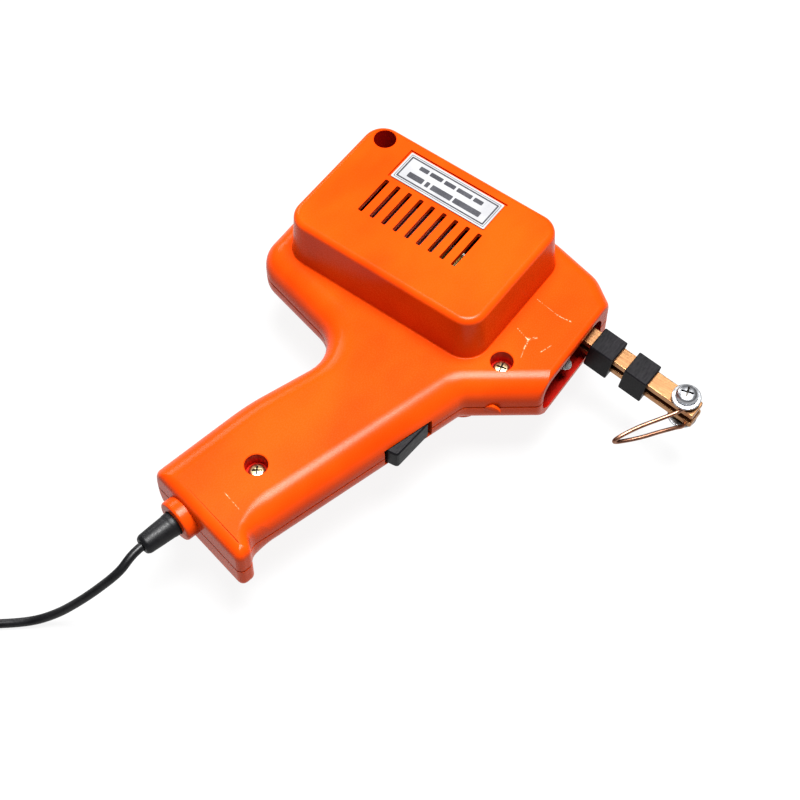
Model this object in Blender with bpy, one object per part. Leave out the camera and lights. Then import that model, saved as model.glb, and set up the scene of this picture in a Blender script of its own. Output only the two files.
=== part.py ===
"""Pistol-shaped transformer soldering gun, 220 V and 100 VA, lying on its side with its mains lead.

All sizes below are in millimetres; new_mesh() and the curve helpers turn them into metres.
Frame: the gun lies on the flat face of its lower box, which is the plane z = 0, centred on the origin.
+X runs along the tip bars to the tip, +Y to the gun's top, -Y down the handle, and +Z is up, towards
the side with the screws. The two case halves meet at the parting plane, z = PARTING.
"""

import math

import bmesh
import bpy
from mathutils import Matrix, Vector

MM = 0.001

# Driving dimensions of the case
PARTING = 33.0            # height of the parting plane, half the gun's thickness
BODY_HALF = 12.0          # half thickness of the handle, the nose and the flange round the boxes
BOX_HALF_LENGTH = 43.4    # of each box, where it meets the body
BOX_HALF_WIDTH = 30.0
BOX_DRAFT = 1.2           # how far each box wall leans in over its height
BOX_CORNER = 9.5
BOX_EDGE = 2.6            # rounding of the box's top edge
WALL = 2.2
SEAM = 0.15               # half the gap between the two case halves
GAP = 0.3                 # clearance between pieces that touch

# Handle
HANDLE_LEAN = math.radians(12.0)
BUTT_CENTRE = Vector((-6.0, -133.75))
COLLAR_RADIUS = 8.0
COLLAR_LENGTH = 4.4

# Screw wells in the upper half: centre, and depth of the well's floor below the outer face
WELL_RADIUS = 4.25
WELLS = {
    "box": ((-34.4, 22.4), 28.0),
    "nose": ((50.7, -21.6), 6.2),
    "handle": ((6.4, -107.8), 6.2),
}
HEAD_RADIUS = 3.2
HEAD_HEIGHT = 2.0
SCREW_RADIUS = 1.5

# Transformer
LEG = 18.0                # width of the core's centre leg, which sets the lamination's other sizes
CORE_LOW_Y = -19.5        # where the lamination starts
CORE_X = (-22.0, 10.0)    # the stack of laminations
STRAP_Y = 11.0
STRAP_WIDTH = 7.4
STRAP_THICK = 2.6
BAR_GAP = 2.6             # between the two bars at the nose
BAR_END = 116.6
TIP_SCREW = (111.0, 8.5)

# Trigger, in its own axes: v points out of the handle's front, u up along it
FRONT_POINT = Vector((40.13, -64.0))
FRONT_SLOPE = math.atan(0.2836)
PIVOT_VU = (-6.0, 7.5)
TRIGGER_HALF = 4.3
TRIGGER_ARC = 17.5        # the trigger's lower end is an arc round its pin
PIN_RADIUS = 1.2

# Mains lead
CORD_RADIUS = 1.65
RELIEF_LENGTH = 18.6      # beyond the butt
COIL_RADIUS = 20.0
BUNDLE_HALF = 5.3

COLOURS = {
    "shell": ((0.90, 0.16, 0.02), 0.28, 0.0),
    "steel": ((0.35, 0.35, 0.36), 0.45, 1.0),
    "zinc": ((0.75, 0.76, 0.78), 0.30, 1.0),
    "brass": ((0.72, 0.55, 0.22), 0.32, 1.0),
    "copper": ((0.80, 0.47, 0.25), 0.30, 1.0),
    "enamelled_copper": ((0.55, 0.22, 0.08), 0.30, 0.6),
    "nylon": ((0.82, 0.80, 0.72), 0.50, 0.0),
    "tape": ((0.80, 0.62, 0.10), 0.45, 0.0),
    "black": ((0.02, 0.02, 0.02), 0.45, 0.0),
    "rubber": ((0.03, 0.03, 0.035), 0.60, 0.0),
    "pvc": ((0.02, 0.02, 0.022), 0.40, 0.0),
    "paper": ((0.86, 0.86, 0.84), 0.40, 0.0),
    "glass": ((0.85, 0.90, 0.90), 0.05, 0.0),
    "red_wire": ((0.60, 0.03, 0.02), 0.45, 0.0),
    "blue_wire": ((0.03, 0.10, 0.45), 0.45, 0.0),
}

# ---------------------------------------------------------------- helpers


def clear_scene():
    for obj in list(bpy.data.objects):
        bpy.data.objects.remove(obj)


def material(key):
    found = bpy.data.materials.get(key)
    if found:
        return found
    colour, roughness, metallic = COLOURS[key]
    made = bpy.data.materials.new(key)
    made.use_nodes = True
    shader = made.node_tree.nodes["Principled BSDF"]
    shader.inputs["Base Color"].default_value = (*colour, 1.0)
    shader.inputs["Roughness"].default_value = roughness
    shader.inputs["Metallic"].default_value = metallic
    return made


def add_object(name, data, key):
    obj = bpy.data.objects.new(name, data)
    bpy.context.scene.collection.objects.link(obj)
    if key:
        data.materials.append(material(key))
    else:
        obj.hide_render = True
        obj.display_type = "WIRE"
    return obj


def new_mesh(name, points, faces, key=None):
    """An object from points in millimetres. With no material key it is a cutter, which isn't a part."""
    mesh = bpy.data.meshes.new(name)
    mesh.from_pydata([Vector(p) * MM for p in points], [], faces)
    work = bmesh.new()
    work.from_mesh(mesh)
    bmesh.ops.recalc_face_normals(work, faces=work.faces)
    work.to_mesh(mesh)
    work.free()
    mesh.shade_smooth()
    mesh.set_sharp_from_angle(angle=math.radians(35))
    return add_object(name, mesh, key)


def ring_solid(name, loops, key=None):
    """A solid with a hole through it: each loop is joined to the next, and the last to the first."""
    count = len(loops[0])
    points = [p for loop in loops for p in loop]
    faces = []
    for level in range(len(loops)):
        low, high = level * count, (level + 1) % len(loops) * count
        for i in range(count):
            j = (i + 1) % count
            faces.append((low + i, low + j, high + j, high + i))
    return new_mesh(name, points, faces, key)


def loft(name, rings, key=None):
    """A closed solid through rings that have the same number of points, capped at both ends."""
    count = len(rings[0])
    points = [p for ring in rings for p in ring]
    faces = [tuple(range(count))[::-1]]
    for level in range(len(rings) - 1):
        low = level * count
        for i in range(count):
            j = (i + 1) % count
            faces.append((low + i, low + j, low + count + j, low + count + i))
    top = (len(rings) - 1) * count
    faces.append(tuple(top + i for i in range(count)))
    return new_mesh(name, points, faces, key)


def prism(name, outline, low, high, key=None):
    return loft(name, [[(x, y, z) for x, y in outline] for z in (low, high)], key)


def block(name, low, high, key=None):
    outline = [(low[0], low[1]), (high[0], low[1]), (high[0], high[1]), (low[0], high[1])]
    return prism(name, outline, low[2], high[2], key)


def circle(centre, radius, count):
    turns = [2 * math.pi * i / count for i in range(count)]
    return [(centre[0] + radius * math.cos(a), centre[1] + radius * math.sin(a)) for a in turns]


def rod(name, centre, radius, low, high, key=None, count=20):
    return prism(name, circle(centre, radius, count), low, high, key)


def turned_rings(start, direction, profile, count=20):
    axis = Vector(direction).normalized()
    side = axis.orthogonal().normalized()
    other = axis.cross(side)
    rings = []
    for distance, radius in profile:
        middle = Vector(start) + axis * distance
        turns = [2 * math.pi * i / count for i in range(count)]
        rings.append([middle + (side * math.cos(a) + other * math.sin(a)) * radius for a in turns])
    return rings


def turned(name, start, direction, profile, key=None, count=20):
    """A solid of revolution: profile holds (distance along the axis, radius)."""
    return loft(name, turned_rings(start, direction, profile, count), key)


def sleeve(name, start, direction, profile, key=None, count=20):
    """A hollow solid of revolution: the profile goes out along the outside and comes back along the bore."""
    return ring_solid(name, turned_rings(start, direction, profile, count), key)


def combine(obj, other, operation):
    modifier = obj.modifiers.new(operation.lower(), "BOOLEAN")
    modifier.operation = operation
    modifier.solver = "EXACT"
    modifier.object = other
    other.hide_render = True
    other.display_type = "WIRE"


def smooth_path(points, steps):
    """A Catmull-Rom curve through hand-placed points, with this many steps to each stretch."""
    knots = [Vector(p) for p in points]
    knots = [knots[0] * 2 - knots[1]] + knots + [knots[-1] * 2 - knots[-2]]
    path = []
    for i in range(1, len(knots) - 2):
        a, b, c, d = knots[i - 1 : i + 3]
        for step in range(steps):
            t = step / steps
            path.append(
                0.5 * ((2 * b) + (c - a) * t + (2 * a - 5 * b + 4 * c - d) * t**2 + (3 * b - a - 3 * c + d) * t**3)
            )
    return path + [knots[-2]]


def wire(name, path, radius, key, resolution=2):
    curve = bpy.data.curves.new(name, "CURVE")
    curve.dimensions = "3D"
    curve.bevel_depth = radius * MM
    curve.bevel_resolution = resolution
    curve.use_fill_caps = True
    spline = curve.splines.new("POLY")
    spline.points.add(len(path) - 1)
    for point, place in zip(spline.points, path):
        point.co = (*(Vector(place) * MM), 1.0)
    return add_object(name, curve, key)


# ---------------------------------------------------------------- case outline

# The body's outline at the parting plane, counter-clockwise. Each corner holds x, y, its radius in plan,
# and the rounding of the edge towards the outer face just before and just after the corner.
OUTLINE = (
    (69.0, -23.1, 3.0, 9.0, 2.2),      # nose, lower front
    (67.6, 24.6, 4.0, 2.2, 6.0),       # nose, upper front
    (57.5, 31.6, 14.0, 6.0, 6.0),
    (35.0, 36.6, 40.0, 6.0, 6.0),
    (-51.0, 36.6, 10.0, 6.0, 6.0),     # rear, top
    (-51.0, -36.0, 11.0, 8.0, 9.0),    # rear, bottom
    (-0.5, -48.2, 14.0, 10.0, 10.0),   # crotch behind the handle
    (-15.0, -88.0, 100.0, 10.0, 10.0),
    (-23.3, -129.9, 3.6, 10.0, 4.2),   # butt, rear
    (24.6, -140.2, 2.6, 4.2, 4.2),     # butt, lip
    (25.6, -134.6, 2.6, 4.2, 3.6),
    (20.6, -130.2, 5.0, 3.6, 5.0),
    (23.1, -122.0, 30.0, 10.0, 10.0),
    (46.9, -39.8, 5.0, 10.0, 9.0),     # under the nose
)
LEVELS = (0.0, 2.0, 5.0, 7.6, 9.6, 11.0, 11.7, 12.0)


def rounding_inset(radius, height, top):
    rise = height - (top - radius)
    return 0.0 if rise <= 0 else radius - math.sqrt(max(radius**2 - rise**2, 0.0))


def crossing(a, b, c, d):
    """Where the line through a and b meets the line through c and d, or b where they run alike."""
    first, second = b - a, d - c
    cross = first.x * second.y - first.y * second.x
    if abs(cross) < 0.02 * first.length * second.length:
        return (b + c) / 2
    offset = c - a
    return a + first * ((offset.x * second.y - offset.y * second.x) / cross)


def outline_ring(height, wall, per_corner=5):
    """The outline at this height from the parting plane, wall inside the outer surface."""
    top = BODY_HALF - wall
    count = len(OUTLINE)
    lines = []
    for i in range(count):
        x0, y0, _, _, after = OUTLINE[i]
        x1, y1, _, before, _ = OUTLINE[(i + 1) % count]
        start, end = Vector((x0, y0)), Vector((x1, y1))
        inward = Vector((y0 - y1, x1 - x0)).normalized()
        insets = [wall + rounding_inset(max(r - wall, 0.5), height, top) for r in (after, before)]
        lines.append((start + inward * insets[0], end + inward * insets[1], insets))
    corners = [crossing(*lines[i - 1][:2], *lines[i][:2]) for i in range(count)]
    ring = []
    for i in range(count):
        corner, last, following = corners[i], corners[i - 1], corners[(i + 1) % count]
        into, out = (corner - last).normalized(), (following - corner).normalized()
        turn = math.atan2(into.x * out.y - into.y * out.x, into.dot(out))
        inset = (lines[i - 1][2][1] + lines[i][2][0]) / 2
        radius = OUTLINE[i][2] - inset if turn > 0 else OUTLINE[i][2] + inset
        room = 0.46 * min((corner - last).length, (following - corner).length)
        reach = min(max(radius, 0.5) * math.tan(abs(turn) / 2), room)
        radius = reach / math.tan(abs(turn) / 2)
        side = Vector((-into.y, into.x)) * (1 if turn > 0 else -1)
        centre = corner - into * reach + side * radius
        for k in range(per_corner):
            angle = turn * k / (per_corner - 1)
            arm = Matrix.Rotation(angle, 2) @ (-side * radius)
            ring.append((centre.x + arm.x, centre.y + arm.y))
    return ring


def rounded_rectangle(half_x, half_y, radius, per_corner=6):
    ring = []
    for sign_x, sign_y, start in ((1, 1, 0), (-1, 1, 90), (-1, -1, 180), (1, -1, 270)):
        middle = (sign_x * (half_x - radius), sign_y * (half_y - radius))
        for k in range(per_corner):
            angle = math.radians(start + 90 * k / (per_corner - 1))
            ring.append((middle[0] + radius * math.cos(angle), middle[1] + radius * math.sin(angle)))
    return ring


# ---------------------------------------------------------------- case halves


def body_solid(name, side, wall, low):
    top = BODY_HALF - wall
    levels = [low] + [z * top / BODY_HALF for z in LEVELS[1:]]
    rings = [[(x, y, PARTING + side * z) for x, y in outline_ring(max(z, 0.0), wall)] for z in levels]
    return loft(name, rings)


def box_solid(name, side, wall, low):
    top = PARTING - wall
    edge = BOX_EDGE - wall * 0.7
    steps = [(low, 0.0), (BODY_HALF, 0.0), (top - edge, BOX_DRAFT)]
    for k in range(1, 4):
        angle = math.radians(30 * k)
        steps.append((top - edge + edge * math.sin(angle), BOX_DRAFT + edge * (1 - math.cos(angle))))
    rings = []
    for z, inset in steps:
        inset += wall
        ring = rounded_rectangle(BOX_HALF_LENGTH - inset, BOX_HALF_WIDTH - inset, BOX_CORNER - inset)
        rings.append([(x, y, PARTING + side * z) for x, y in ring])
    return loft(name, rings)


def handle_axis(distance, across=0.0):
    """A point on the lead's axis, this far beyond the butt, in plan."""
    along = Vector((-math.sin(HANDLE_LEAN), -math.cos(HANDLE_LEAN)))
    return BUTT_CENTRE + along * distance + Vector((-along.y, along.x)) * across


def trigger_point(v, u):
    out = Vector((math.cos(FRONT_SLOPE), -math.sin(FRONT_SLOPE)))
    up = Vector((math.sin(FRONT_SLOPE), math.cos(FRONT_SLOPE)))
    return FRONT_POINT + out * v + up * u


def vent_slots(name, places, low, high):
    """One cutter of separate slots, each with square ends."""
    points, faces = [], []
    for x in places:
        base = len(points)
        points += [(px, py, pz) for pz in (low, high) for px, py in
                   ((x - 0.95, -10.3), (x + 0.95, -10.3), (x + 0.95, 7.1), (x - 0.95, 7.1))]
        faces += [tuple(base + i for i in face) for face in
                  ((3, 2, 1, 0), (4, 5, 6, 7), (0, 1, 5, 4), (1, 2, 6, 5), (2, 3, 7, 6), (3, 0, 4, 7))]
    return new_mesh(name, points, faces)


def slanted(low_v, low_u, high_v, high_u):
    """A rectangle in the trigger's axes, as plan points."""
    corners = ((low_v, low_u), (high_v, low_u), (high_v, high_u), (low_v, high_u))
    return [tuple(trigger_point(v, u)) for v, u in corners]


def pin_seat(shell, side):
    """The boss that carries one end of the trigger's pin."""
    centre = tuple(trigger_point(*PIVOT_VU))
    near, far = sorted((PARTING + side * 4.9, PARTING + side * 8.8))
    combine(shell, rod(f"pin_boss_{side}", centre, 3.0, near, far, count=16), "UNION")
    near, far = sorted((PARTING + side * 4.0, PARTING + side * 8.5))
    combine(shell, rod(f"pin_hole_{side}", centre, PIN_RADIUS + GAP, near, far, count=16), "DIFFERENCE")


def mouth_cutter():
    ring = rounded_rectangle(19.9, 8.2, 4.5, 5)
    centre_y = -0.6
    rings = [[(x, centre_y + y, PARTING + z) for y, z in ring] for x in (58.0, 76.0)]
    return loft("mouth_cutter", rings)


def trigger_slot_cutter():
    return prism("trigger_slot_cutter", slanted(-6.5, -10.35, 6.0, 10.9), PARTING - 4.75, PARTING + 4.75)


def lead_hole_cutter():
    start = (*handle_axis(-3.2), PARTING)
    direction = (-math.sin(HANDLE_LEAN), -math.cos(HANDLE_LEAN), 0)
    return turned("lead_hole_cutter", start, direction, ((0, 4.85), (9, 4.85)))


def seam_cutter(side):
    """Takes away everything on the far side of the seam."""
    low, high = sorted((PARTING + side * SEAM, PARTING - side * 30))
    return block(f"seam_cutter_{side}", (-80, -170, low), (140, 60, high))


def case_half(name, side):
    shell = body_solid(name, side, 0.0, -1.0)
    shell.hide_render = False
    shell.display_type = "TEXTURED"
    shell.data.materials.append(material("shell"))
    combine(shell, box_solid(f"{name}_box", side, 0.0, -1.0), "UNION")
    start = (*handle_axis(-1.0), PARTING)
    direction = (-math.sin(HANDLE_LEAN), -math.cos(HANDLE_LEAN), 0)
    profile = ((0, COLLAR_RADIUS), (COLLAR_LENGTH - 0.2, COLLAR_RADIUS), (COLLAR_LENGTH + 1, COLLAR_RADIUS - 1.4))
    combine(shell, turned(f"{name}_collar", start, direction, profile), "UNION")
    combine(shell, body_solid(f"{name}_inside", side, WALL, -3.0), "DIFFERENCE")
    combine(shell, box_solid(f"{name}_box_inside", side, WALL, -3.0), "DIFFERENCE")
    return shell


def upper_shell():
    shell = case_half("upper_shell", 1)
    for place, (centre, depth) in WELLS.items():
        top = (PARTING if place == "box" else BODY_HALF) + PARTING - 1.4
        combine(shell, rod(f"upper_{place}_boss", centre, WELL_RADIUS + 1.5, PARTING - 1, top), "UNION")
    for place, (centre, depth) in WELLS.items():
        face = PARTING * 2 if place == "box" else PARTING + BODY_HALF
        combine(shell, rod(f"{place}_well", centre, WELL_RADIUS, face - depth, face + 1), "DIFFERENCE")
        combine(shell, rod(f"{place}_clearance", centre, 1.9, PARTING - 2, face - depth + 1), "DIFFERENCE")
    slots = vent_slots("upper_slots", [-21.7 + 5.23 * k for k in range(9)], PARTING * 2 - 4, PARTING * 2 + 1)
    combine(shell, slots, "DIFFERENCE")
    pin_seat(shell, 1)
    recess = block("label_recess", (-23.2, 9.0, PARTING * 2 - 0.9), (20.6, 24.0, PARTING * 2 + 1))
    combine(shell, recess, "DIFFERENCE")
    for cutter in (mouth_cutter(), trigger_slot_cutter(), lead_hole_cutter(), seam_cutter(1)):
        combine(shell, cutter, "DIFFERENCE")


def lower_shell():
    shell = case_half("lower_shell", -1)
    floor = PARTING - BODY_HALF + 1.0
    for place, (centre, _) in WELLS.items():
        bottom = 1.0 if place == "box" else floor
        combine(shell, rod(f"lower_{place}_boss", centre, 3.6, bottom, PARTING + 1, count=16), "UNION")
    for index, across in enumerate((-7.0, 7.0)):
        centre = tuple(handle_axis(-16.0, across))
        combine(shell, rod(f"clamp_post_{index}", centre, 2.6, floor, PARTING + 1, count=14), "UNION")
    saddle = [tuple(handle_axis(d, a)) for d, a in ((-14.6, -6.0), (-17.4, -6.0), (-17.4, 6.0), (-14.6, 6.0))]
    combine(shell, prism("saddle_rib", saddle, floor, PARTING - CORD_RADIUS - GAP), "UNION")
    combine(shell, block("lamp_rib", (53.0, -6.5, floor), (55.5, 2.5, PARTING - 4.8)), "UNION")
    combine(shell, prism("switch_rib", slanted(-24.0, -6.0, -17.0, 6.0), floor, PARTING - 5.3), "UNION")
    for index, low_y in enumerate((-19.0, 20.0)):
        rail = block(f"core_rail_{index}", (CORE_X[0], low_y, 1.0), (CORE_X[1], low_y + 4, 5.7))
        combine(shell, rail, "UNION")
    pin_seat(shell, -1)
    slots = vent_slots("lower_slots", [s * (3.9 + 5.23 * k) for s in (-1, 1) for k in range(4)], -1, 4)
    for cutter in (slots, mouth_cutter(), trigger_slot_cutter(), lead_hole_cutter(), seam_cutter(-1)):
        combine(shell, cutter, "DIFFERENCE")
    for place, (centre, _) in WELLS.items():
        combine(shell, rod(f"{place}_pilot", centre, 1.85, PARTING - 10, PARTING + 2, count=14), "DIFFERENCE")
    for index, across in enumerate((-7.0, 7.0)):
        centre = tuple(handle_axis(-16.0, across))
        combine(shell, rod(f"clamp_pilot_{index}", centre, 1.5, PARTING - 8, PARTING + 2, count=12), "DIFFERENCE")


def rating_label():
    top = PARTING * 2 - 0.9
    block("rating_label", (-22.4, 9.7, top + 0.2), (19.6, 23.3, top + 0.6), "paper")


def case_screw(place):
    centre, depth = WELLS[place]
    seat = (PARTING * 2 if place == "box" else PARTING + BODY_HALF) - depth + GAP
    top = seat + HEAD_HEIGHT
    profile = ((0, SCREW_RADIUS), (seat - PARTING + 8, SCREW_RADIUS), (seat - PARTING + 8, HEAD_RADIUS))
    profile += ((top - PARTING + 7.4, HEAD_RADIUS), (top - PARTING + 8, HEAD_RADIUS - 0.8))
    turned(f"case_screw_{place}", (*centre, PARTING - 8), (0, 0, 1), profile, "brass", 18)


# ---------------------------------------------------------------- transformer


def core_stack():
    """Laminations lie across the gun, so the stack runs along X. E first, then the I that closes it."""
    half, window = LEG / 2, LEG / 2
    back = CORE_LOW_Y + half
    tip = back + 1.5 * LEG
    outline = [(CORE_LOW_Y, -1.5 * LEG), (tip, -1.5 * LEG), (tip, -LEG), (back, -LEG), (back, -half)]
    outline += [(tip, -half), (tip, half), (back, half), (back, LEG), (tip, LEG), (tip, 1.5 * LEG)]
    outline += [(CORE_LOW_Y, 1.5 * LEG)]
    loft("core_e_stack", [[(x, y, PARTING + z) for y, z in outline] for x in CORE_X], "steel")
    low = (CORE_X[0], tip + GAP, PARTING - 1.5 * LEG)
    high = (CORE_X[1], tip + window, PARTING + 1.5 * LEG)
    block("core_i_stack", low, high, "steel")


def winding_loop(grow_x, grow_z, radius, y, per_corner=4):
    """A rounded loop round the centre leg, this much larger than it."""
    centre_x = (CORE_X[0] + CORE_X[1]) / 2
    half_x = (CORE_X[1] - CORE_X[0]) / 2 + grow_x
    ring = rounded_rectangle(half_x, LEG / 2 + grow_z, radius, per_corner)
    return [(centre_x + x, y, PARTING + z) for x, z in ring]


def windings():
    low, high = -10.2, 6.2
    loops = [winding_loop(GAP, GAP, 0.5, y, 3) for y in (high, low)]
    loops += [winding_loop(9.6, 8.6, 1.5, y, 3) for y in (low, low + 1)]
    loops += [winding_loop(1.3, 1.3, 0.8, y, 3) for y in (low + 1, high - 1)]
    loops += [winding_loop(9.6, 8.6, 1.5, y, 3) for y in (high - 1, high)]
    ring_solid("bobbin", loops, "nylon")
    ends = (low + 1 + GAP, high - 1 - GAP)
    loops = [winding_loop(1.6, 1.6, 1.0, y) for y in ends[::-1]]
    loops += [winding_loop(7.6, 6.6, 5.0, y) for y in ends]
    ring_solid("primary_winding", loops, "enamelled_copper")
    loops = [winding_loop(7.9, 6.9, 5.3, y) for y in ends[::-1]]
    loops += [winding_loop(8.5, 7.5, 5.9, y) for y in ends]
    ring_solid("winding_tape", loops, "tape")


def bar_y(x):
    """The bars lean a little towards the handle."""
    return 11.9 - 0.0863 * (x - 69)


def strap_path():
    """Half of the one-turn secondary: from the bar's end back through the upper window, to the bend."""
    bar = BAR_GAP / 2 + STRAP_THICK / 2
    window = LEG * 0.75
    path = [(BAR_END, bar_y(BAR_END), bar), (60, bar_y(60), bar), (48, bar_y(48), bar), (44, 13.6, bar + 0.4)]
    path += [(41, 13.3, bar + 1.6), (26, 11.6, window - 1.2), (22, STRAP_Y, window), (-26, STRAP_Y, window)]
    return path + [(-28.4, STRAP_Y, window - 0.9), (-29.4, STRAP_Y, window - 3.2)]


def secondary_turn():
    half = [Vector(p) for p in strap_path()]
    path = half + [Vector((p.x, p.y, -p.z)) for p in half[::-1]]
    rings = []
    for i, place in enumerate(path):
        before = (place - path[max(i - 1, 0)]).normalized()
        after = (path[min(i + 1, len(path) - 1)] - place).normalized()
        tangent = (before + after).normalized()
        plan = Vector((tangent.x, tangent.y))
        across = Vector((-plan.y, plan.x)) if plan.length > 0.2 else Vector((0.0, 1.0))
        across = across.normalized() * (1 if across.y > 0 else -1)
        width = Vector((across.x, across.y, 0)) * (STRAP_WIDTH / 2)
        depth = tangent.cross(width).normalized() * (STRAP_THICK / 2)
        corner = max(before.dot(after), -0.5) if i and i < len(path) - 1 else 1.0
        depth /= math.sqrt((1 + corner) / 2)
        middle = place + Vector((0, 0, PARTING))
        rings.append([middle + width + depth, middle - width + depth, middle - width - depth, middle + width - depth])
    strap = loft("secondary_turn", rings, "copper")
    for index, low in enumerate((PARTING + 0.9, PARTING - 4.3)):
        combine(strap, rod(f"bar_hole_{index}", TIP_SCREW, 1.8, low, low + 3.4, count=16), "DIFFERENCE")


def bar_block(name, low_x, high_x, half_height):
    """The moulded block that holds the two bars apart: they pass through one slot each."""
    half_width = 5.2
    outline = [(low_x, bar_y(low_x) - half_width), (high_x, bar_y(high_x) - half_width)]
    outline += [(high_x, bar_y(high_x) + half_width), (low_x, bar_y(low_x) + half_width)]
    piece = prism(name, outline, PARTING - half_height, PARTING + half_height, "black")
    inner = STRAP_WIDTH / 2 + GAP
    outline = [(x, bar_y(x) + s * inner) for x, s in ((low_x - 2, -1), (high_x + 2, -1), (high_x + 2, 1), (low_x - 2, 1))]
    for side in (-1, 1):
        middle = PARTING + side * (BAR_GAP + STRAP_THICK) / 2
        reach = STRAP_THICK / 2 + 0.25
        combine(piece, prism(f"{name}_slot_{side}", outline, middle - reach, middle + reach), "DIFFERENCE")


# ---------------------------------------------------------------- tip


def tip_fastening(name, side):
    """A screw and washer clamp one end of the tip wire to the outer face of its bar."""
    bar_face = BAR_GAP / 2 + STRAP_THICK
    start = (*TIP_SCREW, PARTING + side * 0.6)
    shank, top = bar_face + 2.3, bar_face + 4.9
    profile = ((0, 1.5), (shank, 1.5), (shank, 4.0), (top - 1.2, 4.0), (top - 0.5, 3.5), (top, 2.2))
    turned(f"tip_screw_{name}", start, (0, 0, side), profile, "zinc", 20)
    profile = ((0, 1.85), (0, 5.4), (1.0, 5.4), (1.0, 1.85))
    start = (*TIP_SCREW, PARTING + side * (bar_face + 1.7))
    sleeve(f"tip_washer_{name}", start, (0, 0, side), profile, "zinc", 22)


def tip_wire():
    lift = BAR_GAP / 2 + STRAP_THICK + 0.85
    x, y = TIP_SCREW
    hook = [(x + 2.45 * math.cos(a), y + 2.45 * math.sin(a)) for a in (2.4, 1.6, 0.8, 0.0)]
    upper = [(*p, lift) for p in hook] + [(x + 2.3, y - 2.6, lift), (112.2, 4.1, lift - 0.2)]
    upper += [(111.0, 2.2, 3.6), (107.5, -3.1, 3.0), (103.3, -9.9, 3.0), (100.0, -16.3, 2.3)]
    lower = [(99.6, -17.3, -2.3), (104.8, -11.1, -3.0), (109.3, -4.6, -3.0), (112.7, 0.6, -3.3)]
    lower += [(113.9, 3.4, -lift + 0.2), (x + 2.9, y - 2.6, -lift)] + [(*p, -lift) for p in hook[::-1]]
    route = [(px, py, PARTING + pz) for px, py, pz in upper + [(98.6, -18.9, 0.0)] + lower]
    wire("tip_wire", smooth_path(route, 3), 0.65, "copper", 1)


def lamp():
    start = (52.0, -2.0, PARTING)
    profile = ((0, 2.95), (0, 4.4), (8.5, 4.4), (8.5, 2.95))
    sleeve("lamp_holder", start, (1, 0, 0), profile, "black", 18)
    profile = ((0, 1.4), (1, 2.5), (9, 2.5), (11.5, 2.4), (13.6, 1.7), (14.6, 0.7))
    turned("lamp_bulb", (53.0, -2.0, PARTING), (1, 0, 0), profile, "glass", 16)


# ---------------------------------------------------------------- trigger and switch


def trigger():
    """A wedge with its thick end below. Its origin is on the axis of its pin."""
    pivot = Vector(PIVOT_VU)
    arc = [math.radians(-101 + 44 * k / 6) for k in range(7)]
    profile = [(pivot.x + TRIGGER_ARC * math.cos(a), pivot.y + TRIGGER_ARC * math.sin(a)) for a in arc]
    profile += [(-0.3, 8.9), (-0.9, 9.6), (-3.0, 10.2), (-8.6, 10.2), (-9.5, 9.2)]
    outline = [tuple(trigger_point(v, u)) for v, u in profile]
    piece = prism("trigger", outline, PARTING - TRIGGER_HALF, PARTING + TRIGGER_HALF, "black")
    centre = tuple(trigger_point(*PIVOT_VU))
    hole = rod("trigger_bore", centre, PIN_RADIUS + GAP, PARTING - 6, PARTING + 6, count=16)
    combine(piece, hole, "DIFFERENCE")
    origin = Vector((*centre, PARTING)) * MM
    piece.data.transform(Matrix.Translation(-origin))
    piece.location = origin
    rod("trigger_pin", centre, PIN_RADIUS, PARTING - 8.1, PARTING + 8.1, "zinc", count=16)


def switch():
    body = prism("switch_body", slanted(-27.0, -9.0, -14.0, 9.0), PARTING - 5, PARTING + 5, "black")
    inward = -Vector((*(trigger_point(1, 0) - trigger_point(0, 0)), 0))
    mouth = (*trigger_point(-13.0, -3.5), PARTING)
    combine(body, turned("plunger_bore", mouth, inward, ((0, 1.8), (7.5, 1.8)), count=14), "DIFFERENCE")
    start = (*trigger_point(-9.9, -3.5), PARTING)
    turned("switch_plunger", start, inward, ((0, 1.0), (0.5, 1.5), (7.2, 1.5)), "nylon", 14)
    for number, u in ((1, -5.0), (2, 5.0)):
        pocket = prism(f"terminal_pocket_{number}", slanted(-28.0, u - 0.75, -23.0, u + 0.75), PARTING - 3, PARTING + 3)
        combine(body, pocket, "DIFFERENCE")
        outline = slanted(-32.0, u - 0.4, -23.4, u + 0.4)
        prism(f"switch_terminal_{number}", outline, PARTING - 2.4, PARTING + 2.4, "brass")


# ---------------------------------------------------------------- wiring inside


def plan_wire(name, places, radius, key):
    wire(name, smooth_path([(x, y, PARTING + z) for x, y, z in places], 3), radius, key, 1)


def inside_wiring():
    start = handle_axis(-23.2, 0.9)
    end = trigger_point(-33.3, -5.0)
    route = [(start.x, start.y, 0), (-2.6, -104, 0), (-1.5, -90, 0), (3, -76, 0), (end.x - 0.4, end.y - 3, 0)]
    plan_wire("live_core", route + [(end.x, end.y, 0)], 0.7, "red_wire")
    start = handle_axis(-23.2, -0.9)
    route = [(start.x, start.y, 0), (-7.0, -104, 0), (-6.0, -88, 0), (-1.5, -68, 0), (2.0, -52, 0)]
    plan_wire("neutral_core", route + [(7.0, -38, 0), (13.4, -24, -3), (14.2, -11.6, -3)], 0.7, "blue_wire")
    start = trigger_point(-33.3, 5.0)
    route = [(start.x, start.y, 0), (10.5, -44, 0), (14.5, -32, 1), (17.4, -22, 3), (17.6, -11.6, 3)]
    plan_wire("switched_core", route, 0.7, "red_wire")
    for number, side in ((1, 1), (2, -1)):
        route = [(51.4, -2.0, side * 2.2), (42, -8, side * 4), (30, -13, side * 7.5), (22, -13.6, side * 8)]
        plan_wire(f"lamp_lead_{number}", route + [(18.4, -11.8, side * 8)], 0.5, "black")


# ---------------------------------------------------------------- mains lead


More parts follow.
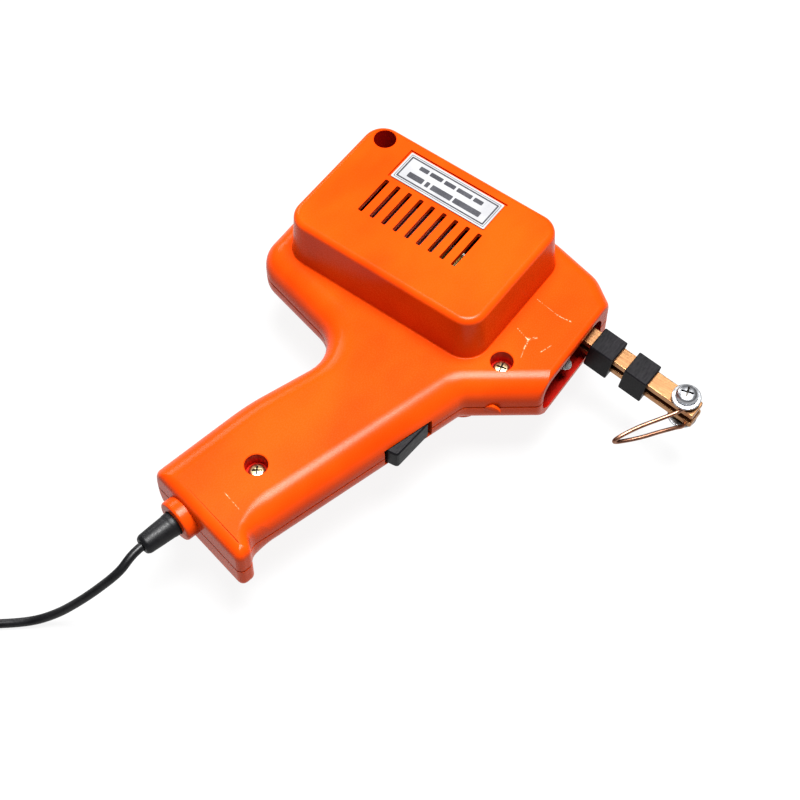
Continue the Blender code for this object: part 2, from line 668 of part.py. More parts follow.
def relief():
    out = (-math.sin(HANDLE_LEAN), -math.cos(HANDLE_LEAN), 0)
    bore = CORD_RADIUS + GAP
    profile = ((-5.4, bore), (-5.4, 6.4), (-2.7, 6.4), (-2.7, 4.5), (5.0, 4.5), (RELIEF_LENGTH - 0.6, 3.8))
    profile += ((RELIEF_LENGTH, 3.3), (RELIEF_LENGTH, bore))
    sleeve("strain_relief", (*BUTT_CENTRE, PARTING), out, profile, "rubber", 20)


def cord_clamp():
    outline = [tuple(handle_axis(d, a)) for d, a in ((-13.4, -9.4), (-18.6, -9.4), (-18.6, 9.4), (-13.4, 9.4))]
    plate = prism("cord_clamp", outline, PARTING + 0.15, PARTING + 3.6, "nylon")
    start = (*handle_axis(-22.0), PARTING)
    out = (-math.sin(HANDLE_LEAN), -math.cos(HANDLE_LEAN), 0)
    channel = turned("clamp_channel", start, out, ((0, CORD_RADIUS + 0.25), (12, CORD_RADIUS + 0.25)))
    combine(plate, channel, "DIFFERENCE")
    for number, across in ((1, -7.0), (2, 7.0)):
        centre = tuple(handle_axis(-16.0, across))
        hole = rod(f"clamp_hole_{number}", centre, 1.5, PARTING - 1, PARTING + 5, count=12)
        combine(plate, hole, "DIFFERENCE")
        profile = ((0, 1.2), (10.9, 1.2), (10.9, 2.3), (12.2, 2.3), (12.6, 1.6))
        turned(f"clamp_screw_{number}", (*centre, PARTING - 7), (0, 0, 1), profile, "zinc", 14)


COIL_CENTRE = Vector((-62.0, -245.0))


def coil_point(angle, radius, height):
    a = math.radians(angle)
    return (COIL_CENTRE.x + radius * math.cos(a), COIL_CENTRE.y + radius * math.sin(a), height)


def mains_lead():
    """Out of the handle, down to the floor and away to a coil, with the plug beyond it."""
    inside, out = handle_axis(-22.4), handle_axis(RELIEF_LENGTH + 1.4)
    low = CORD_RADIUS + 0.1
    start = [(*inside, PARTING), (*handle_axis(0.0), PARTING), (*out, PARTING)]
    route = start + [(-11.2, -163.0, 29.9), (-15.8, -169.6, 22.5), (-21.8, -176.0, 14.2), (-28.2, -181.8, 6.9)]
    route += [(-35.4, -188.2, 2.6), (-45.5, -196.6, low), (-60.0, -207.5, low), (-74.0, -218.8, low)]
    reach = COIL_RADIUS + BUNDLE_HALF + CORD_RADIUS + 2 * GAP
    route += [coil_point(150, reach, low), coil_point(172, reach, low)]
    wire("power_cord", smooth_path(route, 5), CORD_RADIUS, "pvc")
    squash = BUNDLE_HALF * 0.8
    turns = [2 * math.pi * k / 10 for k in range(10)]
    section = [(COIL_RADIUS + BUNDLE_HALF * math.cos(a), squash * (1 + math.sin(a)) + 0.05) for a in turns]
    loops = []
    for k in range(32):
        loops.append([coil_point(360 * k / 32, radius, height) for radius, height in section])
    ring_solid("cord_coil", loops, "pvc")
    tail = [coil_point(200, reach, low), coil_point(225, reach + 0.6, low), coil_point(243, reach + 5, low)]
    x, y, _ = coil_point(262, reach + 22, 0)
    tail += [(x - 2, y + 6, 3.6), (x, y - 1.0, 6.4), (x + 0.5, y - 6.5, 7.0)]
    wire("cord_tail", smooth_path(tail, 5), CORD_RADIUS, "pvc")
    plug(x + 0.5, y - 6.8)


def plug(x, y):
    """Flat two-pin mains plug without an earth, lying on its wide side."""
    rings = []
    for along, half_width, half_height in ((0, 3.0, 2.9), (6, 3.6, 3.2), (12, 7.5, 5.0), (22, 15.5, 6.6), (36, 17.6, 6.8)):
        ring = rounded_rectangle(half_width, half_height, half_height * 0.7, 3)
        rings.append([(x + px, y - along, 7.0 + pz) for px, pz in ring])
    body = loft("plug_body", rings, "rubber")
    socket = turned("plug_cord_socket", (x, y + 2, 7.0), (0, -1, 0), ((0, 1.95), (12, 1.95)), count=12)
    combine(body, socket, "DIFFERENCE")
    for number, side in ((1, -1), (2, 1)):
        start = (x + side * 9.3, y - 30, 7.0)
        bore = turned(f"plug_pin_hole_{number}", start, (0, -1, 0), ((0, 2.3), (8, 2.3)), count=14)
        combine(body, bore, "DIFFERENCE")
        profile = ((0.4, 2.0), (24, 2.0), (25, 1.2))
        turned(f"plug_pin_{number}", start, (0, -1, 0), profile, "zinc", 14)


# ---------------------------------------------------------------- assembly

clear_scene()
upper_shell()
lower_shell()
rating_label()
for well in WELLS:
    case_screw(well)
core_stack()
windings()
secondary_turn()
bar_block("rear_bar_block", 71.0, 81.3, 5.6)
bar_block("front_bar_block", 86.8, 96.7, 5.4)
tip_fastening("upper", 1)
tip_fastening("lower", -1)
tip_wire()
lamp()
trigger()
switch()
inside_wiring()
relief()
cord_clamp()
mains_lead()
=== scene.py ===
"""Visual model of an orange pistol-shaped transformer soldering gun, lying on its side with its mains lead.

Sizes are in millimetres, and to_metres() turns them into metres; lights and floor are in metres. The gun
lies on its lower box, +X runs along the copper bars, +Y is the gun's top, and the halves meet at z = SEAM_Z.
"""

import math

import bmesh
import bpy
from mathutils import Matrix, Vector


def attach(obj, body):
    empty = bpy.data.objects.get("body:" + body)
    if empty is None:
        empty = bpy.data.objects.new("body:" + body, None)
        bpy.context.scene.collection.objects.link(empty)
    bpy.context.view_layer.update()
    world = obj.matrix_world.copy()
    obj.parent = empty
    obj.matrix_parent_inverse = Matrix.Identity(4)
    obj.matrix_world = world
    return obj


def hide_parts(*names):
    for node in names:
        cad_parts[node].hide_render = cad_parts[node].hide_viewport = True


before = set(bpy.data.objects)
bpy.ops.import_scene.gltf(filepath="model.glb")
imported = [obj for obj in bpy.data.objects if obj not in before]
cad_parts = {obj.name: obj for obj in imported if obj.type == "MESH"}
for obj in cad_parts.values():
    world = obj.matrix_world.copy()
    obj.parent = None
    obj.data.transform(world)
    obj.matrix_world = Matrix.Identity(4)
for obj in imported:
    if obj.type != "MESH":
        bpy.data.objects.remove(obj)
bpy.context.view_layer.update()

# ---------------- studio

# A white table that is lit from inside, one soft light overhead and a weak rim light behind the gun.
# The camera looks down on the side with the screws, with the tip to the right.

SEAM_Z = 33.0
MM = 0.001
CAMERA_AZIMUTH = math.radians(36.449)
CAMERA_HEIGHT_ANGLE = math.radians(58.033)
CAMERA_PLACE = (243.68, -344.67, 585.65 + SEAM_Z)

bpy.context.scene.view_settings.view_transform = "Standard"
bpy.context.scene.view_settings.look = "Medium High Contrast"


def to_metres(point):
    return Vector(point) * MM


def new_object(name, data):
    made = bpy.data.objects.new(name, data)
    bpy.context.scene.collection.objects.link(made)
    return made


def aim_camera():
    data = bpy.data.cameras.new("studio_camera")
    data.lens = 85.5
    data.sensor_width = 36.0
    data.clip_start = 0.01
    camera = new_object("studio_camera", data)
    turn, rise = CAMERA_AZIMUTH, CAMERA_HEIGHT_ANGLE
    back = Vector((math.sin(turn) * math.cos(rise), -math.cos(turn) * math.cos(rise), math.sin(rise)))
    right = Vector((math.cos(turn), math.sin(turn), 0.0))
    upward = back.cross(right)
    turned = Matrix((right, upward, back)).transposed().to_4x4()
    camera.matrix_world = Matrix.Translation(to_metres(CAMERA_PLACE)) @ turned
    bpy.context.scene.camera = camera


def add_softbox(name, place, target, size, power):
    data = bpy.data.lights.new(name, "AREA")
    data.shape = "RECTANGLE"
    data.size, data.size_y = size
    data.energy = power
    light = new_object(name, data)
    light.location = place
    light.rotation_euler = (Vector(target) - Vector(place)).to_track_quat("-Z", "Y").to_euler()


def lay_floor():
    mesh = bpy.data.meshes.new("floor")
    work = bmesh.new()
    bmesh.ops.create_circle(work, cap_ends=True, radius=6.0, segments=48)
    bmesh.ops.translate(work, verts=work.verts, vec=(0, 0, -0.0002))
    work.to_mesh(mesh)
    work.free()
    floor = new_object("floor", mesh)
    paper = bpy.data.materials.new("backdrop_paper")
    paper.use_nodes = True
    shader = paper.node_tree.nodes["Principled BSDF"]
    values = {"Base Color": (0.06, 0.06, 0.06, 1), "Emission Color": (1.0, 1.0, 1.0, 1), "Emission Strength": 0.75}
    values |= {"Roughness": 0.9, "Specular IOR Level": 0.1}
    for label, value in values.items():
        shader.inputs[label].default_value = value
    mesh.materials.append(paper)


def paint_room():
    """White walls to look at, in a room that gives little light of its own."""
    world = bpy.data.worlds.new("studio")
    world.use_nodes = True
    tree = world.node_tree
    path = tree.nodes.new("ShaderNodeLightPath")
    glow = tree.nodes.new("ShaderNodeMapRange")
    glow.inputs["To Min"].default_value = 0.12
    glow.inputs["To Max"].default_value = 1.0
    tree.links.new(path.outputs["Is Camera Ray"], glow.inputs["Value"])
    tree.links.new(glow.outputs["Result"], tree.nodes["Background"].inputs["Strength"])
    tree.nodes["Background"].inputs["Color"].default_value = (1.0, 1.0, 1.0, 1)
    bpy.context.scene.world = world


aim_camera()
lay_floor()
paint_room()
add_softbox("key_softbox", (0.08, 0.06, 1.3), (0.0, 0.0, 0.03), (0.6, 0.6), 44.0)
add_softbox("rim_softbox", (-1.0, 0.35, 0.65), (0.0, 0.0, 0.03), (0.5, 0.4), 4.0)

# ---------------- mains lead

# A thin black two-core lead with a soft PVC sheath. It leaves the handle through a tapered rubber relief,
# drops to the bench, and its spare length lies in a small coil that ends in a moulded plug without an earth.

BUTT_CENTRE = Vector((-6.0, -133.75))
HANDLE_LEAN = math.radians(12.0)
LEAD_OUT = Vector((-math.sin(HANDLE_LEAN), -math.cos(HANDLE_LEAN), 0.0))
LEAD_RADIUS = 1.65
RELIEF_LENGTH = 18.6
COIL_CENTRE = Vector((-62.0, -245.0))
COIL_RADIUS = 20.0
PLUG_LAP = 0.2


def handle_axis(distance, across=0.0):
    """A plan point on the lead's axis, this far beyond the butt."""
    side = Vector((-LEAD_OUT.y, LEAD_OUT.x))
    return BUTT_CENTRE + LEAD_OUT.to_2d() * distance + side * across


def smooth_path(points, steps):
    knots = [Vector(p) for p in points]
    knots = [knots[0] * 2 - knots[1]] + knots + [knots[-1] * 2 - knots[-2]]
    path = []
    for i in range(1, len(knots) - 2):
        a, b, c, d = knots[i - 1 : i + 3]
        for step in range(steps):
            t = step / steps
            cubic = (3 * b - a - 3 * c + d) * t**3
            path.append(0.5 * (2 * b + (c - a) * t + (2 * a - 5 * b + 4 * c - d) * t**2 + cubic))
    return path + [knots[-2]]


def coil_point(angle, radius, height):
    a = math.radians(angle)
    return Vector((COIL_CENTRE.x + radius * math.cos(a), COIL_CENTRE.y + radius * math.sin(a), height))


def new_curve(name, path, radius, resolution=4):
    curve = bpy.data.curves.new(name, "CURVE")
    curve.dimensions = "3D"
    curve.bevel_depth = radius * MM
    curve.bevel_resolution = resolution
    curve.use_fill_caps = True
    spline = curve.splines.new("POLY")
    spline.points.add(len(path) - 1)
    for point, place in zip(spline.points, path):
        point.co = (*to_metres(place), 1.0)
    return new_object(name, curve)


def lead_route():
    inside, out = handle_axis(-22.4), handle_axis(RELIEF_LENGTH + 1.4)
    low = LEAD_RADIUS + 0.1
    route = [(*inside, SEAM_Z), (*handle_axis(0.0), SEAM_Z), (*out, SEAM_Z)]
    route += [(-11.2, -163.0, 29.9), (-15.8, -169.6, 22.5), (-21.8, -176.0, 14.2), (-28.2, -181.8, 6.9)]
    route += [(-35.4, -188.2, 2.6), (-45.5, -196.6, low), (-60.0, -207.5, low), (-74.0, -218.8, low)]
    return smooth_path(route, 6)


def coiled_route():
    """The whole lead: out of the handle, over the bench, eight turns from the outside in and up, then the plug."""
    low = LEAD_RADIUS + 0.1
    step = 2 * LEAD_RADIUS + 0.1
    rows = [(1, low), (0, low), (-1, low), (-1, low + step), (0, low + step), (1, low + step)]
    rows += [(0.5, low + 1.87 * step), (-0.5, low + 1.87 * step), (-0.5, low + 1.87 * step)]
    route = lead_route()[:-1] + [coil_point(132, COIL_RADIUS + 8.0, low)]
    per_turn = 24
    for i in range(4, 8 * per_turn + 1):
        turn, part = divmod(i / per_turn, 1.0)
        now, after = rows[int(turn)], rows[min(int(turn) + 1, len(rows) - 1)]
        ease = min(max((part - 0.66) / 0.34, 0.0), 1.0)
        ease = ease * ease * (3 - 2 * ease)
        radius = COIL_RADIUS + step * (now[0] + (after[0] - now[0]) * ease)
        route.append(coil_point(112 + 360 * i / per_turn, radius, now[1] + (after[1] - now[1]) * ease))
    reach = COIL_RADIUS + 7.5
    leave = [coil_point(112, 18.4, low + 6.3), coil_point(140, 19.6, low + 6.6), coil_point(162, 22.5, low + 6.7)]
    leave += [coil_point(182, 26.3, low + 5.7), coil_point(200, 29.6, low + 2.6), coil_point(216, 31.0, low)]
    leave += [coil_point(232, reach + 5, low)]
    x, y, _ = coil_point(262, reach + 22, 0)
    leave += [(x - 2, y + 6, 3.6), (x, y - 1.0, 6.4), (x + 0.5, y - 6.5, 7.0)]
    return route + smooth_path(leave, 4)[1:]


def add_node(tree, kind, values=None, **settings):
    made = tree.nodes.new("ShaderNode" + kind)
    for key, value in settings.items():
        setattr(made, key, value)
    for key, value in (values or {}).items():
        if isinstance(value, bpy.types.NodeSocket):
            tree.links.new(value, made.inputs[key])
        else:
            made.inputs[key].default_value = value
    return made


def new_group(name, inputs, outputs):
    tree = bpy.data.node_groups.new(name, "ShaderNodeTree")
    for label, kind, value in inputs:
        socket = tree.interface.new_socket(label, in_out="INPUT", socket_type="NodeSocket" + kind)
        if value is not None:
            socket.default_value = value
    for label, kind in outputs:
        tree.interface.new_socket(label, in_out="OUTPUT", socket_type="NodeSocket" + kind)
    return tree, tree.nodes.new("NodeGroupInput"), tree.nodes.new("NodeGroupOutput")


def build_grain_group():
    """Fine surface grain with a slow mottle under it, on anything moulded, rolled or drawn."""
    inputs = (("Scale", "Float", 900.0), ("Slow Scale", "Float", 60.0))
    inputs += (("Depth", "Float", 0.1), ("Stretch", "Vector", (1.0, 1.0, 1.0)))
    outputs = (("Mottle", "Float"), ("Grain", "Float"), ("Normal", "Vector"))
    tree, source, sink = new_group("surface_grain", inputs, outputs)
    place = add_node(tree, "TexCoord")
    values = {0: place.outputs["Object"], 1: source.outputs["Stretch"]}
    spread = add_node(tree, "VectorMath", values, operation="MULTIPLY").outputs[0]
    values = {"Vector": spread, "Scale": source.outputs["Scale"], "Detail": 4.0}
    fine = add_node(tree, "TexNoise", values)
    values = {"Vector": spread, "Scale": source.outputs["Slow Scale"], "Detail": 3.0}
    slow = add_node(tree, "TexNoise", values)
    values = {"Strength": source.outputs["Depth"], "Distance": 0.0003, "Height": fine.outputs["Fac"]}
    bump = add_node(tree, "Bump", values)
    tree.links.new(slow.outputs["Fac"], sink.inputs["Mottle"])
    tree.links.new(fine.outputs["Fac"], sink.inputs["Grain"])
    tree.links.new(bump.outputs["Normal"], sink.inputs["Normal"])
    return tree


SURFACE_GRAIN = build_grain_group()


def new_finish(name, colour, other_colour, roughness, metallic=0.0, scale=900.0, slow=60.0, depth=0.1,
               stretch=(1.0, 1.0, 1.0), rough_swing=0.15, specular=0.5):
    """A finish whose colour drifts between two near tones, with its own grain and uneven gloss."""
    finish = bpy.data.materials.new(name)
    finish.use_nodes = True
    tree = finish.node_tree
    shader = tree.nodes["Principled BSDF"]
    values = {"Scale": scale, "Slow Scale": slow, "Depth": depth, "Stretch": stretch}
    grain = add_node(tree, "Group", values, node_tree=SURFACE_GRAIN)
    mask = add_node(tree, "MapRange", {"Value": grain.outputs["Mottle"], "From Min": 0.35, "From Max": 0.65})
    values = {"Factor": mask.outputs[0], "A": (*colour, 1.0), "B": (*other_colour, 1.0)}
    tones = add_node(tree, "Mix", values, data_type="RGBA")
    tree.links.new(tones.outputs["Result"], shader.inputs["Base Color"])
    gloss = add_node(tree, "MapRange", {"Value": grain.outputs["Grain"], "From Min": 0.3, "From Max": 0.7})
    gloss.inputs["To Min"].default_value = max(roughness - rough_swing / 2, 0.02)
    gloss.inputs["To Max"].default_value = roughness + rough_swing / 2
    tree.links.new(gloss.outputs[0], shader.inputs["Roughness"])
    tree.links.new(grain.outputs["Normal"], shader.inputs["Normal"])
    shader.inputs["Metallic"].default_value = metallic
    shader.inputs["Specular IOR Level"].default_value = specular
    return finish


black_pvc = new_finish("black_pvc", (0.004, 0.004, 0.005), (0.010, 0.010, 0.011), 0.38, scale=1500, slow=120,
                       depth=0.1, specular=0.3)
black_rubber = new_finish("black_rubber", (0.004, 0.004, 0.005), (0.011, 0.011, 0.012), 0.46, scale=1800, slow=90,
                          depth=0.15, specular=0.28)
nickel_brass = new_finish("nickel_plated_brass", (0.78, 0.76, 0.70), (0.62, 0.60, 0.55), 0.22, 1.0, 700, 150, 0.08)


def set_piece(piece, finish, stands_for=(), body="gun", shaded_cut_finish=None):
    """Gives a piece its finish and, when given one, its cut faces a second finish painted with shade; hangs it on its
    body and hides the pieces of the frame it stands for.
    """
    marks = [face.material_index for face in piece.data.polygons] if shaded_cut_finish else []
    piece.data.materials.clear()
    piece.data.materials.append(finish)
    if shaded_cut_finish:
        piece.data.materials.append(shaded_cut_finish)
        for face, mark in zip(piece.data.polygons, marks):
            face.material_index = mark
    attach(piece, body)
    if stands_for:
        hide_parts(*stands_for)
    return piece


def new_mesh(name, points, faces, sharp=32.0):
    mesh = bpy.data.meshes.new(name)
    mesh.from_pydata([to_metres(p) for p in points], [], faces)
    work = bmesh.new()
    work.from_mesh(mesh)
    bmesh.ops.recalc_face_normals(work, faces=work.faces)
    work.to_mesh(mesh)
    work.free()
    mesh.shade_smooth()
    mesh.set_sharp_from_angle(angle=math.radians(sharp))
    return new_object(name, mesh)


def loft(name, rings, sharp=32.0):
    """A closed solid through rings with the same number of points, capped at both ends."""
    count = len(rings[0])
    faces = [tuple(range(count))[::-1]]
    for low in range(0, (len(rings) - 1) * count, count):
        for i in range(count):
            j = (i + 1) % count
            faces.append((low + i, low + j, low + count + j, low + count + i))
    top = (len(rings) - 1) * count
    faces.append(tuple(range(top, top + count)))
    return new_mesh(name, [p for ring in rings for p in ring], faces, sharp)


def ring_solid(name, loops):
    """A solid with a hole through it: each loop joins the next, and the last joins the first."""
    count = len(loops[0])
    faces = []
    for level in range(len(loops)):
        low, high = level * count, (level + 1) % len(loops) * count
        for i in range(count):
            j = (i + 1) % count
            faces.append((low + i, low + j, high + j, high + i))
    return new_mesh(name, [p for loop in loops for p in loop], faces)


def turned_rings(start, direction, profile, count=48):
    axis = Vector(direction).normalized()
    side = axis.orthogonal().normalized()
    other = axis.cross(side)
    turns = [2 * math.pi * i / count for i in range(count)]
    spokes = [side * math.cos(a) + other * math.sin(a) for a in turns]
    return [[Vector(start) + axis * along + spoke * radius for spoke in spokes] for along, radius in profile]


def rounded_profile(points, radius, steps=4):
    """A turned piece's profile, (distance, radius) pairs, with its inner corners rounded off."""
    corners = [Vector(p) for p in points]
    made = [tuple(points[0])]
    for before, corner, after in zip(corners, corners[1:], corners[2:]):
        reach = min(radius, 0.45 * (corner - before).length, 0.45 * (after - corner).length)
        start = corner + (before - corner).normalized() * reach
        end = corner + (after - corner).normalized() * reach
        for k in range(steps + 1):
            t = k / steps
            made.append(tuple(start * (1 - t) ** 2 + corner * 2 * t * (1 - t) + end * t**2))
    return made + [tuple(corners[-1])]


def rounded_rectangle(half_x, half_y, radius, per_corner=6):
    ring = []
    for sign_x, sign_y, start in ((1, 1, 0), (-1, 1, 90), (-1, -1, 180), (1, -1, 270)):
        for k in range(per_corner):
            angle = math.radians(start + 90 * k / (per_corner - 1))
            x = sign_x * (half_x - radius) + radius * math.cos(angle)
            ring.append((x, sign_y * (half_y - radius) + radius * math.sin(angle)))
    return ring


def mould_relief():
    """The rubber relief is pushed through the butt from inside, and a flange behind the wall holds it."""
    bore = LEAD_RADIUS + 0.25
    profile = [(-5.4, bore), (-5.4, 6.4), (-2.7, 6.4), (-2.7, 4.45), (4.4, 4.45), (5.2, 4.6), (6.4, 4.6), (7.2, 4.4)]
    profile += [(12.5, 4.15), (RELIEF_LENGTH - 1.2, 3.85), (RELIEF_LENGTH, 3.1), (RELIEF_LENGTH, bore)]
    loops = turned_rings((*BUTT_CENTRE, SEAM_Z), LEAD_OUT, rounded_profile(profile, 0.5))
    return set_piece(ring_solid("strain_relief_sleeve", loops), black_rubber, ["strain_relief"])


def mould_plug(x, y, z):
    """A flat two-pin plug in one moulding: a slim tail that flares into a wide grip, and a flat face."""
    sections = [(0, 3.0, 2.9), (1.2, 3.5, 3.3), (5.5, 3.7, 3.4), (9, 5.4, 4.2), (13, 9.2, 5.3), (17, 12.6, 6.0)]
    sections += [(22, 15.4, 6.5), (27, 15.9, 6.5), (31, 17.2, 6.7), (34.8, 17.6, 6.8), (35.7, 17.3, 6.5)]
    sections += [(36.0, 16.6, 5.9)]
    rings = []
    for along, half_width, half_height in sections:
        ring = rounded_rectangle(half_width, half_height, half_height * 0.8, 8)
        rings.append([(x + px, y - along, z + pz) for px, pz in ring])
    body = set_piece(loft("plug_moulding", rings, 40), black_rubber, ["plug_body"])
    pins = []
    for number, side in ((1, -1), (2, 1)):
        profile = rounded_profile([(5.0, 0.0), (5.0, 2.0), (24.0, 2.0), (25.0, 1.3), (25.2, 0.0)], 0.5)
        profile = [(along, max(radius, 0.01)) for along, radius in profile]
        pin = loft(f"plug_contact_{number}", turned_rings((x + side * 9.3, y - 30, z), (0, -1, 0), profile, 32))
        pins.append(set_piece(pin, nickel_brass, [f"plug_pin_{number}"]))
    return [body, *pins]


relief = mould_relief()
lead_points = coiled_route()
mains_lead = new_curve("mains_lead", lead_points, LEAD_RADIUS)
set_piece(mains_lead, black_pvc, ["power_cord", "cord_coil", "cord_tail"])
plug_place = lead_points[-1] + Vector((0, 0.4, 0))
plug_pieces = mould_plug(plug_place.x, plug_place.y + PLUG_LAP, 7.0)

# ---------------- moulded case

# Two mirrored halves injection moulded in glossy orange plastic, about 2 mm thick, that meet on a seam round
# the whole gun. Each carries a deep box for the transformer; the upper one has the screw wells, the vents
# and a shallow bed for the label. The mouth, the trigger's slot and the lead's collar are shared by both.

BODY_HALF = 12.0
BOX_HALF_LENGTH = 43.4
BOX_HALF_WIDTH = 30.0
BOX_DRAFT = 1.2
BOX_CORNER = 9.5
BOX_EDGE = 2.6
BOX_FOOT = 0.6
WALL = 2.2
SEAM_HALF = 0.12
SEAM_BEVEL = 0.28
WELL_RADIUS = 4.25
VENT_PITCH = 5.23
BOX_FACE = SEAM_Z * 2
BODY_FACE = SEAM_Z + BODY_HALF

# Each well: its centre, its depth, and the height of the face it starts from.
WELLS = {
    "box": ((-34.4, 22.4), 28.0, BOX_FACE),
    "nose": ((50.7, -21.6), 6.2, BODY_FACE),
    "handle": ((6.4, -107.8), 6.2, BODY_FACE),
}
FRONT_POINT = Vector((40.13, -64.0))
FRONT_SLOPE = math.atan(0.2836)
PIVOT_OUT_UP = (-6.0, 7.5)

# Each corner: x, y, radius in plan, and the edge's rounding just before and just after it.
OUTLINE = (
    (69.0, -23.1, 3.0, 9.0, 2.2),      # nose, lower front
    (67.6, 24.6, 4.0, 2.2, 6.0),       # nose, upper front
    (57.5, 31.6, 14.0, 6.0, 6.0),
    (35.0, 36.6, 40.0, 6.0, 6.0),
    (-51.0, 36.6, 10.0, 6.0, 6.0),     # rear, top
    (-51.0, -36.0, 11.0, 8.0, 9.0),    # rear, bottom
    (-0.5, -48.2, 14.0, 10.0, 10.0),   # crotch behind the handle
    (-15.0, -88.0, 100.0, 10.0, 10.0),
    (-23.3, -129.9, 3.6, 10.0, 4.2),   # butt, rear
    (24.6, -140.2, 2.6, 4.2, 4.2),     # butt, lip
    (25.6, -134.6, 2.6, 4.2, 3.6),
    (20.6, -130.2, 5.0, 3.6, 5.0),
    (23.1, -122.0, 30.0, 10.0, 10.0),
    (46.9, -39.8, 5.0, 10.0, 9.0),     # under the nose
)
OUTER_LEVELS = (0.4, 2.0, 3.4, 4.8, 6.0, 7.0, 7.9, 8.7, 9.4, 9.8, 10.2, 10.6, 10.95, 11.25, 11.5, 11.7, 11.85,
                11.95, 11.99, 12.0)
INNER_LEVELS = (2.0, 5.0, 7.6, 9.6, 11.0, 11.7, 12.0)


def rounding_inset(radius, height, top):
    rise = height - (top - radius)
    return 0.0 if rise <= 0 else radius - math.sqrt(max(radius**2 - rise**2, 0.0))


def crossing(a, b, c, d):
    first, second = b - a, d - c
    turn = first.x * second.y - first.y * second.x
    if abs(turn) < 0.02 * first.length * second.length:
        return (b + c) / 2
    offset = c - a
    return a + first * ((offset.x * second.y - offset.y * second.x) / turn)


def outline_ring(height, wall, per_corner, extra=0.0):
    """The body's outline at this height from the seam, wall inside the outer surface."""
    top = BODY_HALF - wall
    lines = []
    for here, following in zip(OUTLINE, OUTLINE[1:] + OUTLINE[:1]):
        start, end = Vector(here[:2]), Vector(following[:2])
        inward = Vector((start.y - end.y, end.x - start.x)).normalized()
        insets = [wall + extra + rounding_inset(max(r - wall, 0.5), height, top) for r in (here[4], following[3])]
        lines.append((start + inward * insets[0], end + inward * insets[1], insets))
    count = len(OUTLINE)
    corners = [crossing(*lines[i - 1][:2], *lines[i][:2]) for i in range(count)]
    ring = []
    for i in range(count):
        corner, last, following = corners[i], corners[i - 1], corners[(i + 1) % count]
        into, out = (corner - last).normalized(), (following - corner).normalized()
        turn = math.atan2(into.x * out.y - into.y * out.x, into.dot(out))
        inset = (lines[i - 1][2][1] + lines[i][2][0]) / 2
        radius = OUTLINE[i][2] - inset if turn > 0 else OUTLINE[i][2] + inset
        room = 0.46 * min((corner - last).length, (following - corner).length)
        reach = min(max(radius, 0.5) * math.tan(abs(turn) / 2), room)
        radius = reach / math.tan(abs(turn) / 2)
        side = Vector((-into.y, into.x)) * (1 if turn > 0 else -1)
        centre = corner - into * reach + side * radius
        for k in range(per_corner):
            arm = Matrix.Rotation(turn * k / (per_corner - 1), 2) @ (-side * radius)
            ring.append((centre.x + arm.x, centre.y + arm.y))
    return ring


def body_solid(name, side, wall):
    """The flat body without its box. Its seam edge is broken by a small bevel."""
    if wall:
        steps = [(-3.0, 0.0)] + [(z * (BODY_HALF - wall) / BODY_HALF, 0.0) for z in INNER_LEVELS]
        per_corner = 5
    else:
        steps = [(SEAM_HALF, SEAM_BEVEL)] + [(z, 0.0) for z in OUTER_LEVELS]
        per_corner = 10
    rings = []
    for z, extra in steps:
        rings.append([(x, y, SEAM_Z + side * z) for x, y in outline_ring(max(z, 0.0), wall, per_corner, extra)])
    return loft(name, rings)


def box_solid(name, side, wall):
    top = SEAM_Z - wall
    edge = BOX_EDGE - wall * 0.7
    steps = [(-3.0 if wall else 4.0, 0.0)]
    if not wall:
        steps += [(BODY_HALF - 0.4, -BOX_FOOT), (BODY_HALF, -BOX_FOOT), (BODY_HALF + 0.2, -BOX_FOOT * 0.45)]
    steps += [(BODY_HALF + BOX_FOOT, 0.0), (top - edge, BOX_DRAFT)]
    rounds = 2 if wall else 9
    for k in range(1, rounds + 1):
        angle = math.radians(90 * k / rounds)
        steps.append((top - edge + edge * math.sin(angle), BOX_DRAFT + edge * (1 - math.cos(angle))))
    rings = []
    for z, inset in steps:
        inset += wall
        ring = rounded_rectangle(BOX_HALF_LENGTH - inset, BOX_HALF_WIDTH - inset, BOX_CORNER - inset, 5 if wall else 14)
        rings.append([(x, y, SEAM_Z + side * z) for x, y in ring])
    return loft(name, rings)


def shape_with(piece, tool, operation):
    modifier = piece.modifiers.new(operation.lower(), "BOOLEAN")
    modifier.operation = operation
    modifier.solver = "EXACT"
    modifier.object = tool


def cut(piece, tool):
    shape_with(piece, tool, "DIFFERENCE")


def join(piece, tool):
    shape_with(piece, tool, "UNION")


def settle(piece, sharp=32.0):
    """Works out a piece's cuts and joins, and puts the cutting tools away."""
    tools = [modifier.object for modifier in piece.modifiers if modifier.type == "BOOLEAN"]
    bpy.context.view_layer.update()
    graph = bpy.context.evaluated_depsgraph_get()
    mesh = bpy.data.meshes.new_from_object(piece.evaluated_get(graph))
    piece.modifiers.clear()
    piece.data = mesh
    for tool in tools:
        bpy.data.objects.remove(tool)
    mesh.shade_smooth()
    mesh.set_sharp_from_angle(angle=math.radians(sharp))
    weights = piece.modifiers.new("weights", "WEIGHTED_NORMAL")
    weights.keep_sharp = True
    return piece


def prism(name, outline, low, high):
    return loft(name, [[(x, y, z) for x, y in outline] for z in (low, high)])


def block(name, low, high):
    return prism(name, [(low[0], low[1]), (high[0], low[1]), (high[0], high[1]), (low[0], high[1])], low[2], high[2])


def rod(name, centre, radius, low, high, count=40):
    turns = [2 * math.pi * i / count for i in range(count)]
    outline = [(centre[0] + radius * math.cos(a), centre[1] + radius * math.sin(a)) for a in turns]
    return prism(name, outline, low, high)


def trigger_point(out, up):
    """A plan point in the trigger's own axes: out of the handle's front, and up along it."""
    forward = Vector((math.cos(FRONT_SLOPE), -math.sin(FRONT_SLOPE)))
    along = Vector((math.sin(FRONT_SLOPE), math.cos(FRONT_SLOPE)))
    return FRONT_POINT + forward * out + along * up


